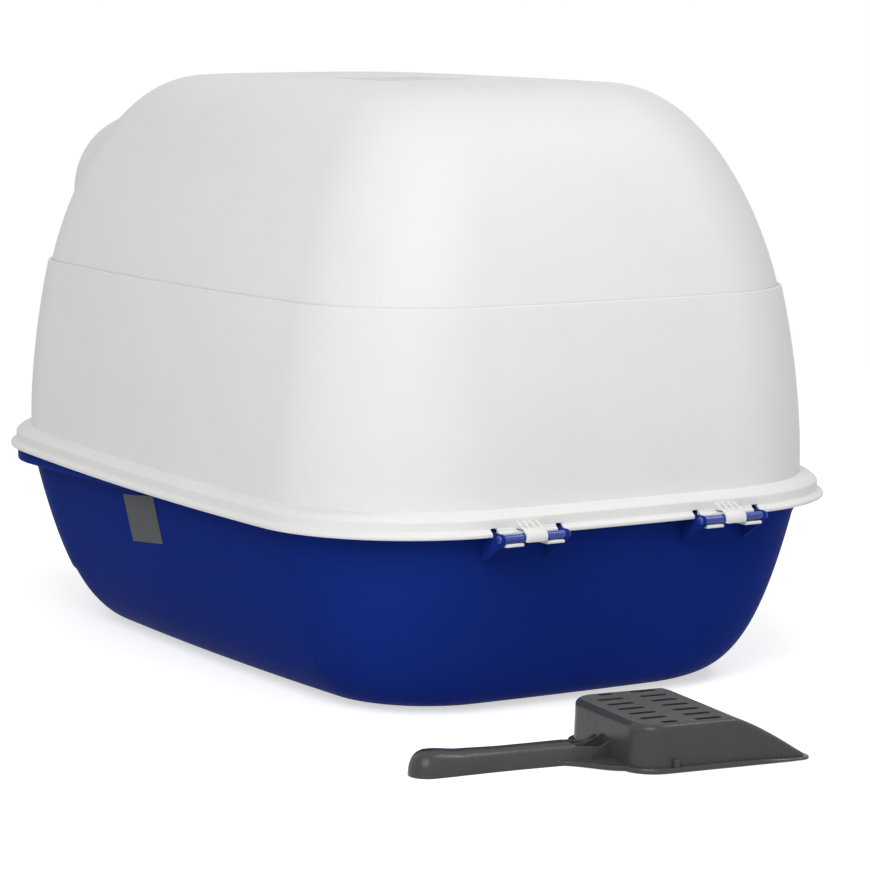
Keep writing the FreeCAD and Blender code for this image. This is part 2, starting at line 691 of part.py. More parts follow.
# Latches
def latch(x):
    """A clip that hangs from its pin, with a nose that swings in under the tray's rim."""
    y = latch_y(x)
    x0, x1 = x - LATCH_WIDTH / 2, x + LATCH_WIDTH / 2
    low = LATCH_AXIS_Z - LATCH_LENGTH
    plate = box((x0, y - LATCH_THICK / 2, low), (x1, y + LATCH_THICK / 2, LATCH_AXIS_Z))
    nose = box((x0, y, low), (x1, y + LATCH_NOSE, low + LATCH_NOSE_THICK))
    barrel = rod_x(LATCH_BARREL, x0, x1, y, LATCH_AXIS_Z)
    return joined(plate, nose, barrel).cut(rod_x(LATCH_PIN + RUN_GAP, x0, x1, y, LATCH_AXIS_Z))


# Scoop, first along +X from the pan's rear wall, then turned to where it lies
def pan_block(inset):
    """The pan as a solid wedge, or its hollow, upside down."""
    top = PAN_HEIGHT - inset
    tip = PAN_TIP - inset
    low = -OVERCUT if inset else 0.0
    side = [(inset, low), (inset, top), (PAN_FLAT, top), (PAN_LENGTH, tip), (PAN_LENGTH, low)]
    if inset:
        slope = (PAN_HEIGHT - PAN_TIP) / (PAN_LENGTH - PAN_FLAT)
        end = PAN_FLAT + top / slope
        side = [(inset, low), (inset, top), (PAN_FLAT, top), (end, 0), (end, low)]
    corners = [V(u, -PAN_WIDTH / 2 + inset, v) for u, v in side]
    block = Part.Face(Part.makePolygon(corners + corners[:1])).extrude(V(0, PAN_WIDTH - 2 * inset, 0))
    rear = [e for e in block.Edges if e.BoundBox.XMax < inset + NEAR and e.BoundBox.ZLength > NEAR]
    block = block.makeFillet(PAN_CORNER - inset, rear)
    crown = [e for e in block.Edges if e.BoundBox.ZMin > top - NEAR and e.BoundBox.XMin < PAN_FLAT - NEAR]
    return block.makeFillet(PAN_EDGE - inset, crown)


def grip_block(inset):
    """The handle as a solid bar with a round end, or its hollow."""
    half = GRIP_WIDTH / 2 - inset
    low = -OVERCUT if inset else 0.0
    top = GRIP_HEIGHT - inset
    start = -NECK_LENGTH - inset
    bar = box((GRIP_END, -half, low), (start, half, top))
    knob = Part.makeCylinder(half, top - low, V(GRIP_END, 0, low))
    bar = joined(bar, knob)
    crown = [e for e in bar.Edges if e.BoundBox.ZMin > top - NEAR and e.BoundBox.XMin < start - NEAR]
    return bar.makeFillet(GRIP_EDGE - inset, crown)


def pan_rim():
    """The flange round the pan's mouth, which narrows into the neck."""
    half = PAN_WIDTH / 2
    reach = half + PAN_RIM_OUT
    plate = box((-PAN_RIM_OUT, -reach, 0), (PAN_LENGTH, reach, PAN_RIM_THICK))
    rear = [e for e in plate.Edges if e.BoundBox.XMax < 0 and e.BoundBox.ZLength > NEAR]
    plate = plate.makeFillet(PAN_CORNER + PAN_RIM_OUT, rear)
    neck = box((-NECK_LENGTH - PAN_WALL, -GRIP_WIDTH / 2, 0), (PAN_WALL, GRIP_WIDTH / 2, NECK_HEIGHT))
    spine = box((-NECK_LENGTH - PAN_WALL, -PAN_WALL / 2, 0),
                (PAN_WALL / 2, PAN_WALL / 2, GRIP_HEIGHT - PAN_EDGE))
    return plate.fuse([neck, spine])


def slots():
    """The rows of slots, the first one with shorter slots at its ends."""
    holes = []
    for row in range(SLOT_ROWS):
        for n in range(SLOT_COUNT):
            start = SLOT_START + row * SLOT_ROW_PITCH
            end = start + SLOT_LENGTH
            if row == 0 and n in (0, SLOT_COUNT - 1):
                start += SLOT_SHORT
            y = (n - (SLOT_COUNT - 1) / 2) * SLOT_PITCH
            holes.append(box((start, y - SLOT_WIDTH / 2, PAN_HEIGHT / 2),
                             (end, y + SLOT_WIDTH / 2, PAN_HEIGHT + OVERCUT)))
    return holes


def scoop():
    body = joined(pan_block(0.0), pan_rim(), grip_block(0.0))
    hang = Part.makeCylinder(HANG_HOLE / 2, 2 * GRIP_HEIGHT, V(GRIP_END, 0, 0))
    body = body.cut([pan_block(PAN_WALL), grip_block(PAN_WALL), hang] + slots())
    body.rotate(V(0, 0, 0), V(0, 0, 1), SCOOP_TURN)
    body.translate(V(SCOOP_X, SCOOP_Y, 0))
    return body


def pieces():
    """Every piece of the object by its name."""
    made = {"base_tray": base_tray(), "blank_label": blank_label(), "hood_skirt": hood_skirt(),
            "dome": dome(), "door_flap": door_flap(), "carbon_filter": carbon_filter(),
            "filter_tray": filter_tray(), "scoop": scoop()}
    for name, x in hinge_sides().items():
        made["hinge_bar_" + name] = hinge_bar(x)
    for name, x in latch_sides().items():
        made["latch_" + name] = latch(x)
        made["latch_pin_" + name] = latch_pin(x)
    return made


def main():
    os.makedirs("parts", exist_ok=True)
    for name, shape in pieces().items():
        shape.exportStep("parts/" + name + ".step")
        print(f"{name:18s} solids {len(shape.Solids)}, valid {shape.isValid()}, {shape.Volume:.1f} mm3")


main()
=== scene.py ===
"""Looks of the covered litter box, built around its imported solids.

Sizes are in millimetres and become metres when a mesh is made. +Z is up, the entrance faces -Y and the hinges
are at +Y, as in the solids.
"""
import logging
import math
from dataclasses import dataclass, field
from enum import Enum

import bpy
import numpy as np
from mathutils import Matrix


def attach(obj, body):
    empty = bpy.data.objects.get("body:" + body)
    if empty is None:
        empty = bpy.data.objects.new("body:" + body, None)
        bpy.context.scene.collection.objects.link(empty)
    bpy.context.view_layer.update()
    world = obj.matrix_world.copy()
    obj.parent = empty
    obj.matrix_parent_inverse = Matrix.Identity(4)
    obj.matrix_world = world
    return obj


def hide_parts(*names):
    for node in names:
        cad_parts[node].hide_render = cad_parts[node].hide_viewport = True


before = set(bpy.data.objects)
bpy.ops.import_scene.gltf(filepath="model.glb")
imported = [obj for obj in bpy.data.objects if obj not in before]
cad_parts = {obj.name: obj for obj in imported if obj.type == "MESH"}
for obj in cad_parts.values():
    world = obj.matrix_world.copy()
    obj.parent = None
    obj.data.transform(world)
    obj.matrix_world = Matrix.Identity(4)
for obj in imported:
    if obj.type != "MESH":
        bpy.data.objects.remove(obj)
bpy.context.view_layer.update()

logging.basicConfig(level=logging.INFO, format="%(message)s")
LOG = logging.getLogger("litter_box")

Array = np.ndarray
Point = tuple[float, float, float]
Spot = tuple[float, float]
Thing = bpy.types.Object
Socket = bpy.types.NodeSocket
MM = 0.001
SMOOTH_BELOW = math.radians(38.0)  # the angle between faces that still shade as one
FLAT_ABOVE = 16  # a face with more corners is a flat cap
TOOL_EDGE = 0.01  # the rims of rooms to cut out are all but sharp
WHITE = (1.0, 1.0, 1.0, 1.0)


class Slot(Enum):
    """Material slot names."""

    TRAY = "tray_blue"
    HOOD = "hood_white"
    LABEL = "label_grey"
    FLAP = "flap_clear"
    FILTER = "filter_black"
    SCOOP = "scoop_grey"


class Axis(Enum):
    """The direction of a plate's thickness."""

    X = "x"
    Y = "y"
    Z = "z"


@dataclass
class Surface:
    """Points in millimetres, and the faces between them."""

    points: Array
    faces: list[list[int]]

    def turned(self, degrees: float, place: Point) -> "Surface":
        """The surface turned about Z and then moved.

        Args:
            degrees: the turn, counter-clockwise from above.
            place: the move afterwards.

        Returns:
            The surface in its new place.
        """
        c, s = math.cos(math.radians(degrees)), math.sin(math.radians(degrees))
        turn = np.array([[c, s, 0.0], [-s, c, 0.0], [0.0, 0.0, 1.0]])
        return Surface(self.points @ turn + np.array(place), self.faces)


def together(*parts: Surface) -> Surface:
    """Surfaces as one.

    Args:
        parts: the surfaces.

    Returns:
        One surface that holds them all, each a shell of its own.
    """
    faces, count = [], 0
    for part in parts:
        faces += [[i + count for i in face] for face in part.faces]
        count += len(part.points)
    return Surface(np.concatenate([part.points for part in parts]), faces)


def smooth(x: Array) -> Array:
    """An even rise from 0 to 1 between x = 0 and x = 1, level at both ends: 3x^2 - 2x^3."""
    x = np.clip(x, 0.0, 1.0)
    return x * x * (3.0 - 2.0 * x)


def change(x: Array, steps: Point) -> Array:
    """A smooth change along x, given as its amount, start and length."""
    return steps[0] * smooth((x - steps[1]) / steps[2])


def unit(rows: Array) -> Array:
    """Vectors scaled to the length 1."""
    return rows / np.linalg.norm(rows, axis=-1)[..., None]


def quarter(spans: int) -> Array:
    """Angles over a quarter turn."""
    return np.linspace(0.0, math.pi / 2.0, spans + 1)


def raised(flat: Array, height: Array) -> Array:
    """Points in plan with their heights, one for each point or for each ring."""
    return np.concatenate([flat, np.broadcast_to(height, flat.shape[:-1])[..., None]], -1)


def skin(grid: Array, loop: bool = False, first_pole: bool = False, last_pole: bool = False,
         around: bool = True) -> Surface:
    """A skin over rings of points.

    Ring r and column c give the face (r, c), (r, c+1), (r+1, c+1), (r+1, c).

    Args:
        grid: points as rings, columns and coordinates.
        loop: whether the last ring joins the first.
        first_pole: whether a fan to the first ring's middle closes that end.
        last_pole: the same for the last ring.
        around: whether the last column joins the first.

    Returns:
        The surface, with its faces outwards where rings that rise go round counter-clockwise.
    """
    rings, columns = grid.shape[:2]
    r = np.arange(rings if loop else rings - 1)[:, None]
    c = np.arange(columns if around else columns - 1)[None, :]
    above, after = (r + 1) % rings * columns, (c + 1) % columns
    quads = np.stack([r * columns + c, r * columns + after, above + after, above + c], -1)
    points, faces = grid.reshape(-1, 3), quads.reshape(-1, 4).tolist()
    ring = np.arange(columns)
    for wanted, row, way in ((first_pole, 0, -1), (last_pole, rings - 1, 1)):
        if wanted:
            start = row * columns
            fan = [start + ring, start + np.roll(ring, -1), np.full(columns, len(points))]
            faces += np.stack(fan[::way], -1).tolist()
            points = np.concatenate([points, grid[row].mean(0)[None]])
    return Surface(points, faces)


def outward(outline: Array) -> Array:
    """Unit normals of a closed counter-clockwise outline, square to the line through a point's neighbours."""
    way = np.roll(outline, -1, 0) - np.roll(outline, 1, 0)
    return unit(np.stack([way[:, 1], -way[:, 0]], -1))


def rounded(corners: list[Spot], radii: float | list[float], steps: int = 6) -> Array:
    """A closed outline with round corners.

    Each corner gives way to a circular arc that touches its two sides. The arc's points are the weighted sums
    of its two end spokes, with the sines of the remaining and the passed angle as weights.

    Args:
        corners: the corners, counter-clockwise.
        radii: the radius at each corner, or one for all.
        steps: the spans along each arc.

    Returns:
        The outline's points.
    """
    at = np.array(corners, float)
    radius = np.broadcast_to(np.array(radii, float), len(at))[:, None]
    back, ahead = unit(np.roll(at, 1, 0) - at), unit(np.roll(at, -1, 0) - at)
    half = np.arccos(np.clip((back * ahead).sum(1), -1.0, 1.0))[:, None] / 2.0
    centre = at + unit(back + ahead) * radius / np.sin(half)
    spokes = [at + way * radius / np.tan(half) - centre for way in (back, ahead)]
    sweep = math.pi - 2.0 * half
    t = np.linspace(0.0, 1.0, steps + 1)[None, :]
    first, last = ((np.sin(part * sweep) / np.sin(sweep))[..., None] for part in (1.0 - t, t))
    return (centre[:, None] + spokes[0][:, None] * first + spokes[1][:, None] * last).reshape(-1, 2)


def oblong(low: Spot, high: Spot, radii: float | list[float], steps: int = 6) -> Array:
    """A rectangle's outline with round corners, counter-clockwise from its lowest corner."""
    return rounded([low, (high[0], low[1]), high, (low[0], high[1])], radii, steps)


def stadium(length: float, width: float, at: Spot) -> Array:
    """A slot's outline along the first coordinate: a rectangle with all but half-round ends."""
    half_u, half_v = length / 2.0, width / 2.0
    return oblong((-half_u, -half_v), (half_u, half_v), width * 0.499) + np.array(at)


def even(outline: Array, count: int) -> Array:
    """A closed outline again, as points at even distances along it.

    Args:
        outline: the outline's points.
        count: how many points to give.

    Returns:
        The new points.
    """
    closed = np.concatenate([outline, outline[:1]])
    run = np.concatenate([[0.0], np.cumsum(np.linalg.norm(np.diff(closed, axis=0), axis=1))])
    at = np.linspace(0.0, run[-1], count, endpoint=False)
    return np.stack([np.interp(at, run, closed[:, 0]), np.interp(at, run, closed[:, 1])], -1)


def arc(radius: float, at: Spot, turn: Array) -> Array:
    """A circle's points at given angles."""
    return np.stack([at[0] + radius * np.cos(turn), at[1] + radius * np.sin(turn)], -1)


def circle(radius: float, at: Spot) -> Array:
    """A whole circle's points, counter-clockwise."""
    return arc(radius, at, np.linspace(0.0, 2.0 * math.pi, 40, endpoint=False))


def plate(outline: Array, start: float, end: float, axis: Axis, edge: float = 0.5, steps: int = 3) -> Surface:
    """A plate on a closed outline, with both rims rounded.

    A rim's ring at the angle a lies edge * (1 - sin a) inside the outline and edge * (1 - cos a) below a face.

    Args:
        outline: points of (y, z), (x, z) or (x, y) for a thickness along X, Y or Z.
        start: where the thickness starts.
        end: where it ends.
        axis: the thickness's direction.
        edge: the rims' radius.
        steps: the spans of each rim.

    Returns:
        The closed surface.
    """
    a = quarter(steps)
    inset, depth = edge * (1.0 - np.sin(a)), edge * (1.0 - np.cos(a))
    inset = np.concatenate([inset, inset[::-1]])
    depth = np.concatenate([start + depth, end - depth[::-1]])
    flat = outline[None] - outward(outline)[None] * inset[:, None, None]
    deep = np.broadcast_to(depth[:, None], flat.shape[:2])
    u, v = flat[..., 0], flat[..., 1]
    parts = {Axis.X: (deep, u, v), Axis.Y: (u, deep, v), Axis.Z: (u, v, deep)}[axis]
    made = skin(np.stack(parts, -1))
    count = len(outline)
    last = (len(depth) - 1) * count
    made.faces += [list(range(count - 1, -1, -1)), list(range(last, last + count))]
    if axis is Axis.Y:
        made.faces = [face[::-1] for face in made.faces]
    return made


def room(outline: Array, start: float, end: float, axis: Axis) -> Surface:
    """A plate with sharp rims, as a room to cut out."""
    return plate(outline, start, end, axis, TOOL_EDGE, 1)


def slab(low: Point, high: Point, edge: float) -> Surface:
    """A block with round rims, and with upright corners of 1.2 times their radius."""
    return plate(oblong(low[:2], high[:2], edge * 1.2), low[2], high[2], Axis.Z, edge)


def arc_radius(half: Array, bulge: Array) -> Array:
    """The radius of an arc with a half chord and a bulge: (half^2 + bulge^2) / (2 bulge)."""
    return (half ** 2 + bulge ** 2) / (2.0 * bulge)


@dataclass(frozen=True)
class Line:
    """A level line of the box: four bulged sides joined by round corners."""

    half_w: float
    half_l: float
    corner: float
    bulge_side: float
    bulge_end: float

    def row(self) -> Array:
        """The five sizes as an array."""
        return np.array([self.half_w, self.half_l, self.corner, self.bulge_side, self.bulge_end])

    def end_at(self, x: float) -> float:
        """How far the end stands from the middle at the side position x."""
        radius = arc_radius(self.half_w, self.bulge_end)
        return self.half_l - radius + math.sqrt(radius ** 2 - x ** 2)

    def inside(self, inset: float) -> Array:
        """The sizes of the line that runs parallel to this one.

        Args:
            inset: the distance inside it.

        Returns:
            Half sizes and corner less the distance, and the bulges of the arcs that are left.
        """
        w, l = self.half_w - inset, self.half_l - inset
        side = arc_radius(self.half_l, self.bulge_side) - inset
        end = arc_radius(self.half_w, self.bulge_end) - inset
        return np.array([w, l, self.corner - inset, side - math.sqrt(side ** 2 - l ** 2),
                         end - math.sqrt(end ** 2 - w ** 2)])


def mixed(first: Array, last: Array, share: Array) -> Array:
    """Rows of line sizes at given shares of the way from one line to another."""
    return first[None] + (last - first)[None] * np.asarray(share, float)[:, None]


def lines(rows: Array, arcs: tuple[int, ...]) -> tuple[Array, Array]:
    """Points and normals of level lines.

    A side is an arc through its two ends and its bulge. A corner's centre is where the two arcs beside it,
    drawn in by the corner's radius, meet, and the corner runs between the directions to it from their centres.

    Args:
        rows: the five sizes of each line.
        arcs: the spans of the eight arcs, from the +X side counter-clockwise.

    Returns:
        Points and outward unit normals, as lines, columns and (x, y).
    """
    w, l, r, side, end = (rows[:, i:i + 1] for i in range(5))
    side_r, end_r = arc_radius(l, side), arc_radius(w, end)
    side_x, end_y = w - side_r, l - end_r
    gap = np.hypot(side_x, end_y)
    along = ((side_r - r) ** 2 - (end_r - r) ** 2 + gap ** 2) / (2.0 * gap)
    across = np.sqrt((side_r - r) ** 2 - along ** 2)
    x = side_x + (-side_x * along - end_y * across) / gap
    y = (end_y * along - side_x * across) / gap
    a, b = np.arctan2(y, x - side_x), np.arctan2(y - end_y, x)
    pi, zero = math.pi, np.zeros_like(x)
    spans = [(side_x, zero, side_r, -a, a), (x, y, r, a, b), (zero, end_y, end_r, b, pi - b),
             (-x, y, r, pi - b, pi - a), (-side_x, zero, side_r, pi - a, pi + a), (-x, -y, r, pi + a, pi + b),
             (zero, -end_y, end_r, pi + b, 2 * pi - b), (x, -y, r, 2 * pi - b, 2 * pi - a)]
    points, normals = [], []
    for count, (mid_x, mid_y, radius, low, high) in zip(arcs, spans):
        turn = low + (high - low) * (np.arange(count) / count)[None, :]
        points.append(arc(radius, (mid_x, mid_y), turn))
        normals.append(arc(1.0, (0.0, 0.0), turn))
    return np.concatenate(points, 1), np.concatenate(normals, 1)


@dataclass
class Levels:
    """A wall in the making: level lines, each with its five sizes, inset, height and share of those sizes."""

    arcs: tuple[int, ...]
    table: list[Array] = field(default_factory=list)

    def count(self) -> int:
        """How many lines there are so far."""
        return sum(map(len, self.table))

    def add(self, rows: Array, inset: Array, height: Array, share: Array | float = 1.0) -> None:
        """Adds lines on top.

        Args:
            rows: the lines' sizes, one row for all or one each.
            inset: how far each lies inside its line.
            height: the height of each.
            share: the size of each as a share of its line, for the rings of a flat floor.
        """
        self.table.append(np.stack(np.broadcast_arrays(*np.atleast_2d(rows).T, inset, height, share), -1))

    def grid(self) -> tuple[Array, Array]:
        """The points, and the normals in plan, as rings and columns."""
        table = np.concatenate(self.table)
        points, normals = lines(table[:, :5], self.arcs)
        inset, height, share = table[:, 5:].T[..., None, None]
        return raised((points - normals * inset) * share, height[..., 0]), normals


def bent(ends: list[Spot], first: Array, last: Array, t: Array, offset: float) -> tuple[Array, Array, Array]:
    """A wall's level lines on a cubic curve of inset and height, moved along the curve's normal.

    Args:
        ends: the curve's four control points.
        first: the sizes of the line at its start.
        last: those at its end.
        t: where to take it, from 0 to 1.
        offset: how far it moves to the left of its direction.

    Returns:
        The rows, insets and heights of the lines.
    """
    q, pull = 1.0 - t, np.array(ends)
    at = np.stack([q ** 3, 3 * q * q * t, 3 * q * t * t, t ** 3], -1) @ pull
    way = unit(np.stack([q * q, 2 * q * t, t * t], -1) @ np.diff(pull, axis=0))
    return mixed(first, last, at[:, 0] / pull[-1, 0]), -way[:, 1] * offset, at[:, 1] + way[:, 0] * offset


class Nodes:
    """A short way to wire a material's nodes."""

    def __init__(self, tree: bpy.types.NodeTree) -> None:
        """Takes the tree to fill and clears it."""
        self.tree = tree
        tree.nodes.clear()

    def add(self, kind: str, **settings: object) -> bpy.types.Node:
        """Adds a node.

        Args:
            kind: the node's type name.
            settings: its properties, or sockets by their names with _ for a space.

        Returns:
            The node.
        """
        node = self.tree.nodes.new(kind)
        for name, value in settings.items():
            if hasattr(node, name):
                setattr(node, name, value)
            else:
                node.inputs[name.replace("_", " ")].default_value = value
        return node

    def link(self, source: Socket, target: Socket) -> None:
        """Joins two sockets."""
        self.tree.links.new(source, target)

    def wired(self, kind: str, *sources: Socket, out: int | str = 0, **settings: object) -> Socket:
        """Adds a node with its first inputs linked.

        Args:
            kind: the node's type name.
            sources: the sockets to link, in the order of its inputs.
            out: the output to give.
            settings: as for add.

        Returns:
            That output.
        """
        node = self.add(kind, **settings)
        for source, target in zip(sources, node.inputs):
            self.link(source, target)
        return node.outputs[out]

    def larger(self, first: Socket, second: Socket) -> Socket:
        """The larger of two values."""
        return self.wired("ShaderNodeMath", first, second, operation="MAXIMUM")

    def noise(self, place: Socket, size: float, detail: float = 2.0) -> Socket:
        """A noise on object coordinates, with spots of a size in millimetres."""
        return self.wired("ShaderNodeTexNoise", place, out="Fac", Scale=1.0 / (size * MM), Detail=detail)

    def ranged(self, value: Socket, low: float, high: float) -> Socket:
        """A noise's middle span stretched over a range."""
        return self.wired("ShaderNodeMapRange", value, From_Min=0.3, From_Max=0.7, To_Min=low, To_Max=high)


@dataclass(frozen=True)
class MouldedPlastic:
    """A moulded plastic: a faint mottle of tone and gloss over a fine grain."""

    name: str
    colour: Point
    shade: Point
    roughness: float
    spread: float
    specular: float
    grain: float
    depth: float
    clear: float = 0.0
    mottle: float = 60.0
    ior: float = 1.45

    def material(self) -> bpy.types.Material:
        """The node material.

        Returns:
            The material, made on the first call and shared after that.
        """
        made = bpy.data.materials.get(self.name)
        if made:
            return made
        made = bpy.data.materials.new(self.name)
        made.use_nodes = True
        made.diffuse_color = (*self.colour, 1.0)
        nodes = Nodes(made.node_tree)
        place = nodes.add("ShaderNodeTexCoord").outputs["Object"]
        shader = nodes.add("ShaderNodeBsdfPrincipled", Specular_IOR_Level=self.specular, IOR=self.ior,
                           Transmission_Weight=self.clear)
        tone = nodes.add("ShaderNodeMix", data_type="RGBA")
        for socket, colour in zip((s for s in tone.inputs if s.type == "RGBA"), (self.colour, self.shade)):
            socket.default_value = (*colour, 1.0)
        nodes.link(nodes.ranged(nodes.noise(place, self.mottle, 3.0), 0.0, 1.0), tone.inputs["Factor"])
        nodes.link(next(s for s in tone.outputs if s.type == "RGBA"), shader.inputs["Base Color"])
        gloss = nodes.ranged(nodes.noise(place, self.grain * 6.0, 3.0), self.roughness - self.spread,
                             self.roughness + self.spread)
        nodes.link(gloss, shader.inputs["Roughness"])
        bump = nodes.add("ShaderNodeBump", Strength=0.5, Distance=self.depth * MM)
        nodes.link(nodes.noise(place, self.grain), bump.inputs["Height"])
        nodes.link(bump.outputs["Normal"], shader.inputs["Normal"])
        nodes.link(shader.outputs["BSDF"], nodes.add("ShaderNodeOutputMaterial").inputs["Surface"])
        return made


HOOD_WHITE = MouldedPlastic("hood_white_matte", (0.800, 0.804, 0.790), (0.782, 0.787, 0.772), 0.50, 0.05, 0.25,
                            0.9, 0.010)
TRAY_BLUE = MouldedPlastic("tray_blue_satin", (0.0092, 0.0290, 0.232), (0.0084, 0.0264, 0.214), 0.45, 0.05,
                           0.03, 0.8, 0.010, ior=1.15)
# The bars' blue is lighter than the tray's: painted light for what their round tops catch. Their higher gloss
# is the plastic's own.
ROD_BLUE_PAINTED_LIGHT = MouldedPlastic("rod_blue_gloss_painted_light", (0.0200, 0.0480, 0.300), (0.0180, 0.0440, 0.280), 0.26, 0.05, 0.70,
                          0.8, 0.006, mottle=12.0)
SCOOP_GREY = MouldedPlastic("scoop_grey_satin", (0.060, 0.062, 0.061), (0.054, 0.056, 0.055), 0.27, 0.05, 0.25,
                            0.7, 0.012, mottle=25.0)
# The scoop's level top: a matte grain of its own, plus a colour twice as light as the sides, which is painted
# light from above.
SCOOP_TEXTURED_PAINTED_LIGHT = MouldedPlastic("scoop_grey_textured_painted_light", (0.128, 0.130, 0.128), (0.116, 0.118, 0.116), 0.62, 0.06,
                                0.01, 0.6, 0.030, mottle=18.0)
LABEL_GREY = MouldedPlastic("label_grey_film", (0.098, 0.103, 0.108), (0.090, 0.095, 0.100), 0.45, 0.06, 0.06,
                            0.5, 0.006, mottle=12.0)
FLAP_CLEAR = MouldedPlastic("flap_smoky_clear", (0.62, 0.66, 0.70), (0.58, 0.62, 0.66), 0.16, 0.05, 0.5,
                            1.2, 0.008, clear=0.85)
FILTER_FELT = MouldedPlastic("filter_carbon_felt", (0.018, 0.018, 0.019), (0.034, 0.034, 0.036), 0.93, 0.05,
                             0.15, 0.7, 0.35, mottle=3.0)


def linked(name: str, data: bpy.types.ID) -> Thing:
    """A new object in the scene."""
    made = bpy.data.objects.new(name, data)
    bpy.context.scene.collection.objects.link(made)
    return made


def raw_object(name: str, surface: Surface) -> Thing:
    """A mesh object in metres from a surface.

    Args:
        name: the object's name.
        surface: its points and faces.

    Returns:
        The object, linked to the scene.
    """
    mesh = bpy.data.meshes.new(name)
    mesh.from_pydata((surface.points * MM).tolist(), [], surface.faces)
    mesh.validate()
    return linked(name, mesh)


def modified(piece: Thing, kind: str, **settings: object) -> None:
    """Gives a piece the mesh that a modifier makes of it.

    Args:
        piece: the mesh object.
        kind: the modifier's type.
        settings: the modifier's properties.
    """
    step = piece.modifiers.new(kind, kind)
    for name, value in settings.items():
        setattr(step, name, value)
    bpy.context.view_layer.update()
    graph = bpy.context.evaluated_depsgraph_get()
    made, old = bpy.data.meshes.new_from_object(piece.evaluated_get(graph)), piece.data
    piece.modifiers.clear()
    piece.data = made
    bpy.data.meshes.remove(old)


def cut(piece: Thing, tool: Surface) -> None:
    """Takes a closed surface's room out of a piece.

    Args:
        piece: a closed mesh object.
        tool: the room to take out.
    """
    cutter = raw_object("cutter", tool)
    modified(piece, "BOOLEAN", operation="DIFFERENCE", solver="EXACT", object=cutter, use_self=False)
    mesh = cutter.data
    bpy.data.objects.remove(cutter)
    bpy.data.meshes.remove(mesh)


def thicken(piece: Thing, wall: float) -> None:
    """Gives an open skin a wall of some millimetres on its inner side."""
    modified(piece, "SOLIDIFY", thickness=wall * MM, offset=-1.0)


def join(piece: Thing, *extras: Thing) -> None:
    """Adds other objects' meshes to a piece, each as a shell of its own, and removes those objects.

    Args:
        piece: the piece that grows.
        extras: the objects whose meshes it takes.
    """
    for extra in extras:
        both = [piece, extra]
        with bpy.context.temp_override(active_object=piece, selected_editable_objects=both,
                                       selected_objects=both):
            bpy.ops.object.join()


def dress(piece: Thing, finish: MouldedPlastic, body: str, slot: Slot, *nodes: str) -> None:
    """Gives a piece its finish and its place in the frame.

    Args:
        piece: the mesh object.
        finish: its finish.
        body: the body that it rides on.
        slot: not used.
        nodes: the solids that it stands for.
    """
    mesh = piece.data
    mesh.materials.clear()
    mesh.materials.append(finish.material())
    corners = np.empty(len(mesh.polygons), np.int32)
    mesh.polygons.foreach_set("material_index", np.zeros_like(corners))
    mesh.polygons.foreach_get("loop_total", corners)
    mesh.polygons.foreach_set("use_smooth", corners <= FLAT_ABOVE)
    mesh.set_sharp_from_angle(angle=SMOOTH_BELOW)
    mesh.update()
    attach(piece, body)
    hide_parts(*nodes)
    LOG.info("%s: %d faces on %s", piece.name, len(mesh.polygons), body)


def keep_solid(node: str, finish: MouldedPlastic) -> None:
    """Leaves a solid showing, with a finish of its own.

    Args:
        node: the solid's name.
        finish: its finish.
    """
    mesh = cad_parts[node].data
    mesh.materials.clear()
    mesh.materials.append(finish.material())
    LOG.info("%s: kept as it is", node)


LIP = Line(237.0, 332.0, 124.0, 10.0, 6.0)
FOOT = Line(224.0, 319.0, 124.0, 10.0, 6.0)
SEAM = Line(211.5, 306.0, 106.0, 19.0, 15.5)
LIP_Z = 140.0
SEAM_Z = 299.0
FLANGE_REACH = LIP.half_w - FOOT.half_w
LIP_RISE = 8.1
LIP_RISE_FROM = 200.0
LIP_RISE_OVER = 532.0
LIP_RISE_POWER = 1.8
EVEN_ARCS = (64, 44, 64, 44, 64, 44, 64, 44)
FRONT_ARCS = (44, 30, 44, 30, 44, 60, 132, 60)


def lip_rise(y: Array) -> Array:
    """How far the lip has climbed at a place along the box: a power of the distance from where it starts."""
    return LIP_RISE * np.clip((LIP_RISE_FROM - y) / LIP_RISE_OVER, 0.0, 1.0) ** LIP_RISE_POWER


def flange_rows(inset: Array) -> Array:
    """Rows of the flange's lines at given distances inside the lip."""
    return mixed(LIP.row(), FOOT.row(), np.atleast_1d(inset) / FLANGE_REACH)


